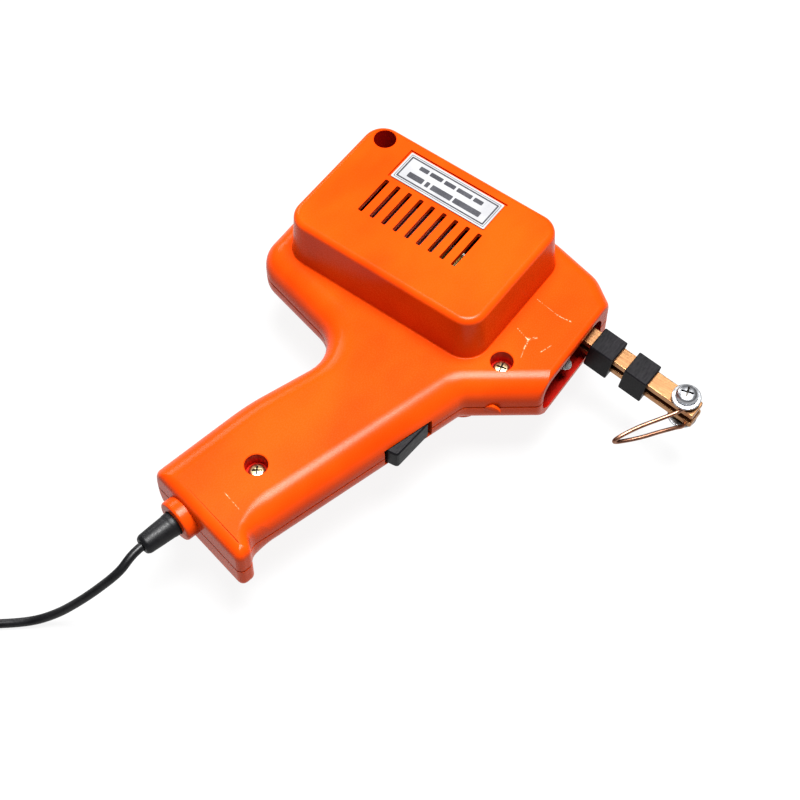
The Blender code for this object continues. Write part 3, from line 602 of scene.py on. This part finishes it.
def slanted(low_out, low_up, high_out, high_up):
    corners = ((low_out, low_up), (high_out, low_up), (high_out, high_up), (low_out, high_up))
    return [tuple(trigger_point(out, up)) for out, up in corners]


def vent_tool(places, low, high):
    """One tool for a row of slots with slightly rounded ends."""
    points, faces = [], []
    for x in places:
        base = len(points)
        ring = [(x + px, -1.6 + py) for px, py in rounded_rectangle(0.95, 8.7, 0.5, 4)]
        points += [(px, py, z) for z in (low, high) for px, py in ring]
        count = len(ring)
        faces.append(tuple(base + i for i in range(count))[::-1])
        faces.append(tuple(base + count + i for i in range(count)))
        for i in range(count):
            j = (i + 1) % count
            faces.append((base + i, base + j, base + count + j, base + count + i))
    return new_mesh("vent_tool", points, faces)


def countersink(name, centre, radius, face, side):
    """Breaks the rim of a well."""
    profile = [(-0.45, radius - 0.3), (-0.3, radius), (0.0, radius + 0.28), (0.5, radius + 0.5)]
    return loft(name, turned_rings((*centre, face), (0, 0, side), profile))


def shade_inside(tool):
    """Marks a cutting tool so that the faces it leaves take the piece's second finish, which is painted shade."""
    for _ in range(2):
        tool.data.materials.append(None)
    for face in tool.data.polygons:
        face.material_index = 1
    return tool


def case_half(name, side):
    half = body_solid(name, side, 0.0)
    # The second finish is painted shade: a darker, redder orange for the faces cut inside the case.
    for finish in (orange_plastic, shaded_orange_inside):
        half.data.materials.append(finish)
    join(half, box_solid(f"{name}_box", side, 0.0))
    profile = rounded_profile([(-1.0, 8.0), (4.4, 8.0), (4.6, 4.0)], 1.1, 6)
    collar = loft(f"{name}_collar", turned_rings((*BUTT_CENTRE, SEAM_Z), LEAD_OUT, profile, 64))
    join(half, collar)
    cut(half, shade_inside(body_solid(f"{name}_inside", side, WALL)))
    cut(half, shade_inside(box_solid(f"{name}_box_inside", side, WALL)))
    centre = tuple(trigger_point(*PIVOT_OUT_UP))
    near, far = sorted((SEAM_Z + side * 4.9, SEAM_Z + side * 8.8))
    join(half, rod(f"{name}_pin_boss", centre, 3.0, near, far, 24))
    return half


def cut_shared(half, side):
    ring = rounded_rectangle(19.9, 8.2, 6.0, 10)
    mouth = loft("mouth_tool", [[(x, y - 0.6, SEAM_Z + z) for y, z in ring] for x in (58.0, 76.0)])
    cut(half, shade_inside(mouth))
    slot = prism("trigger_slot_tool", slanted(-6.5, -10.35, 6.0, 10.9), SEAM_Z - 4.75, SEAM_Z + 4.75)
    cut(half, slot)
    profile = [(-3.2, 4.85), (9.0, 4.85)]
    cut(half, loft("lead_tool", turned_rings((*BUTT_CENTRE, SEAM_Z), LEAD_OUT, profile)))
    low, high = sorted((SEAM_Z + side * SEAM_HALF, SEAM_Z - side * 30))
    cut(half, block("seam_tool", (-80, -170, low), (140, 60, high)))


def mould_upper():
    half = case_half("upper_case", 1)
    for place, (centre, _, face) in WELLS.items():
        join(half, rod(f"{place}_boss", centre, WELL_RADIUS + 1.5, SEAM_Z - 1, face - 1.4))
    for place, (centre, depth, face) in WELLS.items():
        well = rod(f"{place}_well", centre, WELL_RADIUS, face - depth, face + 1)
        cut(half, shade_inside(well))
        cut(half, countersink(f"{place}_rim", centre, WELL_RADIUS, face, 1))
        cut(half, rod(f"{place}_clearance", centre, 1.9, SEAM_Z - 2, face - depth + 1, 24))
    cut(half, vent_tool([-21.7 + VENT_PITCH * k for k in range(9)], BOX_FACE - 4, BOX_FACE + 1))
    bed = block("label_bed_tool", (-23.2, 9.0, BOX_FACE - 0.9), (20.6, 24.0, BOX_FACE + 1))
    cut(half, bed)
    cut_shared(half, 1)
    return settle(half)


def mould_lower():
    half = case_half("lower_case", -1)
    floor = SEAM_Z - BODY_HALF + 1.0
    for place, (centre, *_) in WELLS.items():
        bottom = 1.0 if place == "box" else floor
        join(half, rod(f"{place}_boss", centre, 3.6, bottom, SEAM_Z + 1, 24))
    for index, across in enumerate((-7.0, 7.0)):
        centre = tuple(handle_axis(-16.0, across))
        join(half, rod(f"clamp_post_{index}", centre, 2.6, floor, SEAM_Z + 1, 20))
    places = ((-14.6, -6.0), (-17.4, -6.0), (-17.4, 6.0), (-14.6, 6.0))
    saddle = [tuple(handle_axis(along, across)) for along, across in places]
    join(half, prism("saddle_rib", saddle, floor, SEAM_Z - LEAD_RADIUS - 0.3))
    join(half, block("lamp_rib", (53.0, -6.5, floor), (55.5, 2.5, SEAM_Z - 4.8)))
    join(half, prism("switch_rib", slanted(-24.0, -6.0, -17.0, 6.0), floor, SEAM_Z - 5.3))
    for index, low_y in enumerate((-19.0, 20.0)):
        join(half, block(f"core_rail_{index}", (-22, low_y, 1.0), (10, low_y + 4, 5.7)))
    cut(half, vent_tool([s * (3.9 + VENT_PITCH * k) for s in (-1, 1) for k in range(4)], -1, 4))
    cut_shared(half, -1)
    for place, (centre, *_) in WELLS.items():
        cut(half, rod(f"{place}_pilot", centre, 1.85, SEAM_Z - 10, SEAM_Z + 2, 20))
    return settle(half)


def build_rub_group():
    """A rub or crack from one point to another on a moulded face, broken up along its length."""
    inputs = (("Start", "Vector", (0, 0, 0)), ("End", "Vector", (0.01, 0, 0)))
    inputs += (("Width", "Float", 0.0004), ("Break", "Float", 0.5))
    tree, source, sink = new_group("rub_mark", inputs, (("Mask", "Float"),))

    def combined(operation, a, b, output=0):
        return add_node(tree, "VectorMath", {0: a, 1: b}, operation=operation).outputs[output]

    place = add_node(tree, "TexCoord").outputs["Object"]
    start, end = source.outputs["Start"], source.outputs["End"]
    reach = combined("SUBTRACT", place, start)
    line = combined("SUBTRACT", end, start)
    along = combined("DOT_PRODUCT", reach, line, "Value")
    whole = combined("DOT_PRODUCT", line, line, "Value")
    share = add_node(tree, "Math", {0: along, 1: whole}, operation="DIVIDE", use_clamp=True).outputs[0]
    foot = add_node(tree, "VectorMath", {0: line, "Scale": share}, operation="SCALE").outputs[0]
    away = combined("DISTANCE", reach, foot, "Value")
    fade = add_node(tree, "Math", {0: away, 1: source.outputs["Width"]}, operation="DIVIDE").outputs[0]
    values = {"Value": fade, "From Min": 1.0, "From Max": 0.2}
    core = add_node(tree, "MapRange", values, interpolation_type="SMOOTHSTEP")
    rough = add_node(tree, "TexNoise", {"Vector": place, "Scale": 1400.0, "Detail": 3.0})
    values = {"Value": rough.outputs["Fac"], "From Min": source.outputs["Break"], "From Max": 0.62}
    gate = add_node(tree, "MapRange", values)
    both = add_node(tree, "Math", {0: core.outputs[0], 1: gate.outputs[0]}, operation="MULTIPLY")
    tree.links.new(both.outputs[0], sink.inputs["Mask"])
    return tree


RUB_MARK = build_rub_group()

# Where the body's face is rubbed pale: start, end and half width. Below them, two fine dark cracks by the butt.
PALE_RUBS = (
    ((55.6, 7.0), (61.2, 7.5), 0.42),
    ((45.5, 8.5), (55.6, 7.0), 0.14),
    ((46.9, -6.4), (53.1, -8.4), 0.17),
    ((53.1, -8.4), (54.2, -12.4), 0.5),
    ((54.2, -12.4), (55.4, -16.4), 0.18),
    ((52.4, -8.1), (53.6, -7.8), 0.75),
    ((54.4, -6.6), (55.0, -6.0), 0.7),
    ((59.8, -9.9), (61.2, -5.6), 0.28),
    ((4.6, -123.0), (12.7, -125.1), 0.22),
)
DARK_CRACKS = (((-6.8, -124.2), (-4.2, -126.2), 0.22), ((11.6, -120.5), (11.2, -127.6), 0.12))


def mix_orange():
    """Glossy orange: two near tones that flowed together in the mould, dust specks, rubs and fine cracks."""
    finish = new_finish("orange_plastic", (0.50, 0.046, 0.002), (0.58, 0.064, 0.003), 0.27, scale=2200, slow=38,
                        depth=0.03, stretch=(1.0, 0.55, 1.0), rough_swing=0.08, specular=0.12)
    tree = finish.node_tree
    shader = tree.nodes["Principled BSDF"]
    colour = shader.inputs["Base Color"].links[0].from_socket
    place = add_node(tree, "TexCoord").outputs["Object"]
    cells = add_node(tree, "TexVoronoi", {"Vector": place, "Scale": 210.0})
    values = {"Value": cells.outputs["Distance"], "From Min": 0.05, "From Max": 0.03}
    speck = add_node(tree, "MapRange", values)
    pick = add_node(tree, "SeparateColor", {"Color": cells.outputs["Color"]})
    rare = add_node(tree, "Math", {0: pick.outputs[0], 1: 0.86}, operation="GREATER_THAN")
    dust = add_node(tree, "Math", {0: speck.outputs[0], 1: rare.outputs[0]}, operation="MULTIPLY").outputs[0]
    for rubs, tone in ((PALE_RUBS, (0.95, 0.50, 0.34)), (DARK_CRACKS, (0.30, 0.02, 0.002))):
        for start, end, width in rubs:
            values = {"Start": to_metres((*start, BODY_FACE)), "End": to_metres((*end, BODY_FACE))}
            values |= {"Width": width * MM, "Break": 0.44}
            mark = add_node(tree, "Group", values, node_tree=RUB_MARK)
            faint = add_node(tree, "Math", {0: mark.outputs[0], 1: 0.6}, operation="MULTIPLY").outputs[0]
            values = {"Factor": faint, "A": colour, "B": (*tone, 1.0)}
            mixed = add_node(tree, "Mix", values, data_type="RGBA")
            colour = mixed.outputs["Result"]
    values = {"Factor": dust, "A": colour, "B": (0.35, 0.05, 0.01, 1.0)}
    dusty = add_node(tree, "Mix", values, data_type="RGBA")
    tree.links.new(dusty.outputs["Result"], shader.inputs["Base Color"])
    return finish


orange_plastic = mix_orange()
# A darker, redder copy of the orange: painted shade for the inside of the case, its wells and its mouth.
shaded_orange_inside = new_finish("shaded_orange_inside", (0.46, 0.008, 0.001), (0.38, 0.007, 0.001), 0.5, scale=2600,
                               slow=120, depth=0.2, specular=0.15)


def place_half(half, stands_for):
    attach(half, "gun")
    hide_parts(stands_for)


def mould_seam_tab():
    """The half-moon tab moulded on the lower half, which laps over the seam under the nose."""
    middle, wide = Vector((55.9, -34.1)), Vector((0.943, 0.332))
    out = Vector((wide.y, -wide.x))
    levels = ((-1.2, 3.0, 0.35), (-0.2, 2.9, 0.42), (0.9, 2.3, 0.42), (1.7, 1.3, 0.36), (2.2, 0.4, 0.25))
    rings = []
    for z, half_width, proud in levels:
        shoulder = half_width * 0.6
        loop = []
        for across, reach in ((-half_width, -0.8), (half_width, -0.8), (half_width, proud * 0.5), (shoulder, proud),
                              (-shoulder, proud), (-half_width, proud * 0.5)):
            place = middle + wide * across + out * reach
            loop.append((place.x, place.y, SEAM_Z + z))
        rings.append(loop)
    set_piece(loft("seam_tab", rings, 40), orange_plastic)


place_half(mould_upper(), "upper_shell")
place_half(mould_lower(), "lower_shell")
mould_seam_tab()

# ---------------- rating label

# A printed film label in the shallow bed above the vents. It carries a plain border and blank printed bars,
# with no lettering.

LABEL_LOW = (-22.4, 9.7)
LABEL_HIGH = (19.6, 23.3)
LABEL_BED = BOX_FACE - 0.9

label_film = new_finish("label_film", (0.30, 0.30, 0.305), (0.25, 0.25, 0.26), 0.34, scale=1800, slow=90, depth=0.04,
                        rough_swing=0.08)
label_ink = new_finish("label_ink", (0.022, 0.022, 0.028), (0.035, 0.035, 0.042), 0.45, scale=1800, slow=300,
                       depth=0.04)


def label_outline(inset, corner):
    half_x = (LABEL_HIGH[0] - LABEL_LOW[0]) / 2 - inset
    half_y = (LABEL_HIGH[1] - LABEL_LOW[1]) / 2 - inset
    middle = ((LABEL_HIGH[0] + LABEL_LOW[0]) / 2, (LABEL_HIGH[1] + LABEL_LOW[1]) / 2)
    return [(middle[0] + x, middle[1] + y) for x, y in rounded_rectangle(half_x, half_y, corner, 4)]


def print_label():
    film_top = LABEL_BED + 0.62
    film = prism("label_film", label_outline(0.0, 0.4), LABEL_BED + 0.2, film_top)
    set_piece(film, label_film, ["rating_label"])
    for number, (outside, inside) in enumerate(((0.75, 0.95), (1.4, 2.0)), 1):
        loops = []
        for inset, height in ((outside, 0.03), (outside, 0.005), (inside, 0.005), (inside, 0.03)):
            loops.append([(x, y, film_top + height) for x, y in label_outline(inset, 0.25)])
        set_piece(ring_solid(f"label_border_{number}", loops), label_ink)
    rows = ((19.0, 1.9, (-15.6, 12.8), (3.6, 0.9, 5.0, 1.0, 4.4, 0.9, 6.0, 1.0, 3.6)),
            (14.2, 2.5, (-17.6, 14.8), (5.2, 1.1, 1.2, 1.1, 7.0, 0.9, 9.0)))
    number = 0
    for middle_y, height, (start, end), pattern in rows:
        lengths = pattern[::2]
        stretch = (end - start - sum(pattern[1::2])) / sum(lengths)
        x = start
        for index, width in enumerate(pattern):
            width *= stretch if index % 2 == 0 else 1.0
            if index % 2 == 0:
                number += 1
                ring = rounded_rectangle(width / 2, height / 2, 0.3, 4)
                outline = [(x + width / 2 + px, middle_y + py) for px, py in ring]
                bar = prism(f"label_bar_{number}", outline, film_top + 0.005, film_top + 0.03)
                set_piece(bar, label_ink)
            x += width


print_label()

# ---------------- case screws

# Three cross-recess screws in yellow zinc plate sit deep in the wells and pull the halves together.

HEAD_RADIUS = 3.2
HEAD_HEIGHT = 2.0

yellow_zinc = new_finish("yellow_zinc_plate", (0.82, 0.68, 0.38), (0.70, 0.58, 0.36), 0.30, 1.0, 900, 260, 0.05)
bright_zinc = new_finish("bright_zinc_plate", (0.46, 0.47, 0.49), (0.38, 0.39, 0.41), 0.36, 1.0, 900, 220, 0.04)
# Dark grey metal for the faces inside the cross recesses: painted shade in the pits.
recess_shade_metal = new_finish("recess_shade_metal", (0.16, 0.15, 0.14), (0.08, 0.075, 0.07), 0.45, 1.0, 1400, 260, 0.1)


def cross_recess(screw, top, direction, size, depth, turn):
    """Cuts a tapering cross recess into a screw's head; its faces take the screw's second finish, which is painted
    shade.
    """
    place, axis = Vector(top), Vector(direction)
    screw.data.materials.append(None)
    screw.data.materials.append(None)
    for index in range(2):
        angle = turn + index * math.pi / 2
        arm = Vector((math.cos(angle), math.sin(angle), 0))
        wide = Vector((-arm.y, arm.x, 0)) * size * 0.17
        rings = []
        for level, share in ((-depth, 0.32), (-depth * 0.5, 0.66), (0.0, 1.0), (0.8, 1.0)):
            middle, reach = place + axis * level, arm * size * share
            rings.append([middle + reach + wide, middle - reach + wide, middle - reach - wide, middle + reach - wide])
        cut(screw, shade_inside(loft("cross_tool", rings)))


def drive_case_screws():
    turns = {"box": 0.4, "nose": 0.25, "handle": 0.62}
    for place, (centre, depth, face) in WELLS.items():
        seat = face - depth + 0.3
        low = SEAM_Z - 8
        tall = seat - low
        profile = [(0.0, 0.01), (0.0, 1.5), (tall, 1.5), (tall, HEAD_RADIUS), (tall + HEAD_HEIGHT * 0.55, HEAD_RADIUS)]
        profile += [(tall + HEAD_HEIGHT * 0.9, HEAD_RADIUS * 0.72), (tall + HEAD_HEIGHT, HEAD_RADIUS * 0.3)]
        profile += [(tall + HEAD_HEIGHT, 0.01)]
        rings = turned_rings((*centre, low), (0, 0, 1), rounded_profile(profile, 0.25), 40)
        screw = loft(f"well_screw_{place}", rings)
        cross_recess(screw, (*centre, seat + HEAD_HEIGHT), (0, 0, 1), 2.0, 1.5, turns[place])
        set_piece(settle(screw, 28), yellow_zinc, [f"case_screw_{place}"], shaded_cut_finish=recess_shade_metal)


drive_case_screws()

# ---------------- transformer

# A stack of E and I steel laminations round a moulded bobbin, its enamelled winding wrapped in yellow tape.
# The secondary is a single turn of flat copper through both windows; its two ends are the bars.

STRAP_WIDTH = 7.4
STRAP_THICK = 2.6
BAR_GAP = 2.6
BAR_END = 116.6
STRAP_Y = 11.0
WINDOW_Z = 13.5
TIP_SCREW = (111.0, 8.5)
BAR_SLOPE = 0.0863

core_steel = new_finish("lamination_steel", (0.30, 0.30, 0.32), (0.16, 0.15, 0.15), 0.45, 0.9, 2400, 120, 0.25,
                        (4.0, 0.2, 0.2))
bobbin_nylon = new_finish("bobbin_nylon", (0.80, 0.78, 0.70), (0.72, 0.70, 0.62), 0.45, scale=1200, depth=0.08)
enamelled_wire = new_finish("enamelled_wire", (0.50, 0.17, 0.05), (0.36, 0.11, 0.03), 0.3, 0.5, 2600, 100, 0.3,
                            (0.3, 5.0, 0.3))
# Brownish yellow, darker than the tape's own yellow: painted shade, since the tape is seen only deep inside the vents.
yellow_tape = new_finish("yellow_tape", (0.26, 0.17, 0.03), (0.20, 0.13, 0.025), 0.35, scale=1500, depth=0.08)
brushed_copper = new_finish("brushed_copper", (0.42, 0.235, 0.115), (0.34, 0.175, 0.085), 0.36, 1.0, 2600, 700, 0.08,
                            (0.05, 2.0, 2.0), 0.14)


def refine_node(name, finish, width=0.25):
    """Keeps a piece of the frame, breaks its edges and gives it its finish."""
    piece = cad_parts[name]
    for index in range(max(len(piece.material_slots), 1)):
        if not piece.material_slots:
            piece.data.materials.append(finish)
        piece.material_slots[index].material = finish
    weld = piece.modifiers.new("weld", "WELD")
    weld.merge_threshold = 0.00001
    bevel = piece.modifiers.new("edges", "BEVEL")
    bevel.width = width * MM
    bevel.segments = 2
    bevel.limit_method = "ANGLE"
    bevel.angle_limit = math.radians(40)
    bevel.harden_normals = True
    return piece


for name, finish, width in (("core_e_stack", core_steel, 0.3), ("core_i_stack", core_steel, 0.3),
                            ("bobbin", bobbin_nylon, 0.2), ("primary_winding", enamelled_wire, 0.4),
                            ("winding_tape", yellow_tape, 0.2)):
    refine_node(name, finish, width)


def bar_y(x):
    """The middle of the bars at this x: they run out of the mouth at a slight slope."""
    return 11.9 - BAR_SLOPE * (x - 69)


def bend_strap():
    """Drawn flat copper with softened edges, bent to shape, and drilled at both ends for the tip's screws."""
    bar = BAR_GAP / 2 + STRAP_THICK / 2
    half = [(BAR_END, bar_y(BAR_END), bar), (BAR_END - 0.5, bar_y(BAR_END), bar), (60, bar_y(60), bar)]
    half += [(48, bar_y(48), bar), (44, 13.6, bar + 0.4), (41, 13.3, bar + 1.6), (33.5, 12.4, 8.2)]
    half += [(26, 11.6, WINDOW_Z - 1.2), (22, STRAP_Y, WINDOW_Z), (-26, STRAP_Y, WINDOW_Z)]
    half += [(-27.4, STRAP_Y, WINDOW_Z - 0.3), (-28.5, STRAP_Y, WINDOW_Z - 1.1), (-29.4, STRAP_Y, WINDOW_Z - 3.2)]
    half = [Vector(p) for p in half]
    path = half + [Vector((p.x, p.y, -p.z)) for p in half[::-1]]
    rings = []
    for i, place in enumerate(path):
        before = (place - path[max(i - 1, 0)]).normalized()
        after = (path[min(i + 1, len(path) - 1)] - place).normalized()
        tangent = (before + after).normalized()
        plan = Vector((tangent.x, tangent.y))
        across = Vector((-plan.y, plan.x)) if plan.length > 0.2 else Vector((0.0, 1.0))
        across = across.normalized() * (1 if across.y > 0 else -1)
        width = Vector((across.x, across.y, 0))
        depth = tangent.cross(width).normalized()
        corner = max(before.dot(after), -0.5) if 0 < i < len(path) - 1 else 1.0
        depth /= math.sqrt((1 + corner) / 2)
        shrink = 0.25 if i in (0, len(path) - 1) else 0.0
        middle = place + Vector((0, 0, SEAM_Z))
        section = rounded_rectangle(STRAP_WIDTH / 2 - shrink, STRAP_THICK / 2 - shrink, 0.3, 4)
        rings.append([middle + width * px + depth * pz for px, pz in section])
    strap = loft("copper_turn", rings)
    for low in (SEAM_Z + 0.9, SEAM_Z - 4.3):
        cut(strap, rod("bar_drill", TIP_SCREW, 1.8, low, low + 3.4, 24))
    return set_piece(settle(strap, 28), brushed_copper, ["secondary_turn"])


bend_strap()

# ---------------- bar blocks

# Two black moulded blocks slid onto the bars, which keep them apart and square. They have square edges,
# faint tool marks on top, and sit a little askew.

black_moulding = new_finish("black_moulding", (0.004, 0.004, 0.005), (0.009, 0.008, 0.010), 0.40, scale=1600, slow=200,
                            depth=0.14, stretch=(1.0, 0.25, 1.0), specular=0.2)


def mould_block(name, stands_for, low_x, high_x, half_height, askew):
    inner = STRAP_WIDTH / 2 + 0.3
    half_width = 5.2
    middle_x = (low_x + high_x) / 2
    lean = math.atan(-BAR_SLOPE)
    rings = []
    for z, inset in ((-half_height, 0.35), (-half_height + 0.35, 0.0), (half_height - 0.35, 0.0), (half_height, 0.35)):
        ring = []
        for x, y in rounded_rectangle((high_x - low_x) / 2 - inset, half_width - inset, 0.5, 4):
            px = x * math.cos(lean) - y * math.sin(lean) * 0.15 - askew * (half_height - z)
            ring.append((middle_x + px, bar_y(middle_x + x) + y - askew * 0.8 * (half_height - z), SEAM_Z + z))
        rings.append(ring)
    piece = loft(name, rings)
    ends = ((low_x - 2, -1), (high_x + 2, -1), (high_x + 2, 1), (low_x - 2, 1))
    outline = [(x, bar_y(x) + side * inner) for x, side in ends]
    for side in (-1, 1):
        middle = SEAM_Z + side * (BAR_GAP + STRAP_THICK) / 2
        reach = STRAP_THICK / 2 + 0.25
        cut(piece, prism("block_slot_tool", outline, middle - reach, middle + reach))
    set_piece(settle(piece), black_moulding, [stands_for])


mould_block("rear_spacer_block", "rear_bar_block", 71.0, 81.3, 5.7, 0.13)
mould_block("front_spacer_block", "front_bar_block", 86.8, 96.7, 5.5, 0.11)

# ---------------- tip

# A loop of copper wire is the tip. Each end hooks round a pan-head screw, under a plated washer, on the outer
# face of its own bar, so the current runs round the loop.

WIRE_RADIUS = 0.78
tip_copper = new_finish("heated_copper", (0.36, 0.195, 0.13), (0.22, 0.11, 0.075), 0.36, 1.0, 1800, 160, 0.06)


def fasten_tip(name, side, turn):
    face = BAR_GAP / 2 + STRAP_THICK
    shank, top = face + 2.3, face + 5.2
    profile = [(0.0, 0.01), (0.0, 1.5), (shank, 1.5), (shank, 4.1), (shank + 1.0, 4.15), (top - 0.7, 3.6)]
    profile += [(top - 0.15, 2.5), (top, 1.2), (top, 0.01)]
    start = (*TIP_SCREW, SEAM_Z + side * 0.6)
    rings = turned_rings(start, (0, 0, side), rounded_profile(profile, 0.45), 56)
    screw = loft(f"pan_head_{name}", rings, 24)
    crown = (*TIP_SCREW, SEAM_Z + side * (top + 0.45))
    cross_recess(screw, crown, (0, 0, side), 2.3, 1.7, turn)
    set_piece(settle(screw, 24), bright_zinc, [f"tip_screw_{name}"], shaded_cut_finish=recess_shade_metal)
    profile = [(0.0, 1.85), (0.0, 5.4), (1.0, 5.4), (1.0, 1.85)]
    start = (*TIP_SCREW, SEAM_Z + side * (face + 1.7))
    loops = turned_rings(start, (0, 0, side), rounded_profile(profile, 0.3), 64)
    set_piece(ring_solid(f"plated_washer_{name}", loops), bright_zinc, [f"tip_washer_{name}"])


def bend_tip():
    lift = BAR_GAP / 2 + STRAP_THICK + 0.85
    x, y = TIP_SCREW
    hook = [(x + 2.45 * math.cos(a), y + 2.45 * math.sin(a)) for a in (3.0, 2.4, 1.6, 0.8, 0.0)]
    upper = [(*p, lift) for p in hook] + [(x + 2.3, y - 2.6, lift), (112.2, 4.1, lift - 0.2)]
    upper += [(111.0, 2.2, 3.6), (107.5, -3.1, 2.8), (103.3, -9.9, 2.4), (100.0, -16.3, 1.7)]
    lower = [(99.6, -17.3, -1.8), (104.6, -11.1, -2.4), (109.0, -4.6, -2.7), (112.5, 0.6, -3.3)]
    lower += [(113.9, 3.4, -lift + 0.2), (x + 2.9, y - 2.6, -lift)] + [(*p, -lift) for p in hook[::-1]]
    route = [(px, py, SEAM_Z + pz) for px, py, pz in upper + [(98.6, -18.9, 0.0)] + lower]
    wire = new_curve("tip_loop", smooth_path(route, 8), WIRE_RADIUS, 6)
    set_piece(wire, tip_copper, ["tip_wire"])


fasten_tip("upper", 1, 0.32)
fasten_tip("lower", -1, 1.1)
bend_tip()

# ---------------- lamp

# A small clear lamp in a black holder behind the mouth lights the work; two thin leads feed it from the bobbin.

lamp_glass = new_finish("lamp_glass", (0.92, 0.95, 0.95), (0.86, 0.9, 0.9), 0.06, scale=500, depth=0.02,
                        rough_swing=0.04)
for label, value in (("Transmission Weight", 0.75), ("IOR", 1.47)):
    lamp_glass.node_tree.nodes["Principled BSDF"].inputs[label].default_value = value
red_wire = new_finish("red_insulation", (0.52, 0.03, 0.02), (0.42, 0.02, 0.015), 0.35, scale=1400, depth=0.05)
blue_wire = new_finish("blue_insulation", (0.03, 0.08, 0.38), (0.02, 0.06, 0.30), 0.35, scale=1400, depth=0.05)


def blow_lamp():
    profile = [(0.0, 0.01), (0.0, 1.4), (1.0, 2.5), (9.0, 2.6), (12.2, 2.6), (14.0, 2.2), (15.2, 1.3)]
    profile += [(15.6, 0.5), (15.6, 0.01)]
    rings = turned_rings((53.0, -2.0, SEAM_Z), (1, 0, 0), rounded_profile(profile, 0.6), 40)
    set_piece(loft("lamp_envelope", rings, 50), lamp_glass, ["lamp_bulb"])


blow_lamp()
refine_node("lamp_holder", black_moulding, 0.2)
for name in ("lamp_lead_1", "lamp_lead_2"):
    refine_node(name, black_pvc, 0.05)

# ---------------- trigger and switch

# A black moulded wedge that turns on a steel pin held between the case halves. Its back pushes the plunger of
# a snap switch, which carries the trigger's return spring.

PIN_RADIUS = 1.2
TRIGGER_HALF = 4.3
TRIGGER_ARC = 17.5


def mould_trigger():
    pivot = Vector(PIVOT_OUT_UP)
    arc = [math.radians(-101 + 40 * k / 14) for k in range(15)]
    profile = [(pivot.x + TRIGGER_ARC * math.cos(a), pivot.y + TRIGGER_ARC * math.sin(a)) for a in arc]
    profile += [(2.92, -7.4), (3.1, -6.75), (2.95, -5.9), (-0.2, 8.3), (-0.55, 9.3), (-1.3, 9.9), (-3.0, 10.2)]
    profile += [(-8.2, 10.2), (-9.1, 9.9), (-9.5, 9.2)]
    middle = Vector((sum(p[0] for p in profile), sum(p[1] for p in profile))) / len(profile)
    rounding = ((0.0, 0.09), (0.18, 0.04), (0.45, 0.012), (0.8, 0.0))
    levels = [(-TRIGGER_HALF + deep, shrink) for deep, shrink in rounding]
    levels += [(TRIGGER_HALF - deep, shrink) for deep, shrink in rounding[::-1]]
    rings = []
    for z, shrink in levels:
        ring = []
        for out, up in profile:
            place = trigger_point(out + (middle.x - out) * shrink, up + (middle.y - up) * shrink)
            ring.append((place.x, place.y, SEAM_Z + z))
        rings.append(ring)
    wedge = loft("trigger_wedge", rings, 28)
    centre = tuple(trigger_point(*PIVOT_OUT_UP))
    cut(wedge, rod("trigger_bore_tool", centre, PIN_RADIUS + 0.3, SEAM_Z - 6, SEAM_Z + 6, 32))
    return set_piece(settle(wedge, 28), black_moulding, ["trigger"], "trigger_part")


mould_trigger()
refine_node("trigger_pin", bright_zinc, 0.15)
refine_node("switch_body", black_moulding, 0.3)
refine_node("switch_plunger", bobbin_nylon, 0.1)
for name in ("switch_terminal_1", "switch_terminal_2"):
    refine_node(name, yellow_zinc, 0.1)
for name, finish in (("live_core", red_wire), ("switched_core", red_wire), ("neutral_core", blue_wire)):
    refine_node(name, finish, 0.05)

# ---------------- cord clamp

# A nylon strap over the lead just inside the butt, held by two screws, takes the pull off the joints.

refine_node("cord_clamp", bobbin_nylon, 0.3)
for name in ("clamp_screw_1", "clamp_screw_2"):
    refine_node(name, bright_zinc, 0.2)
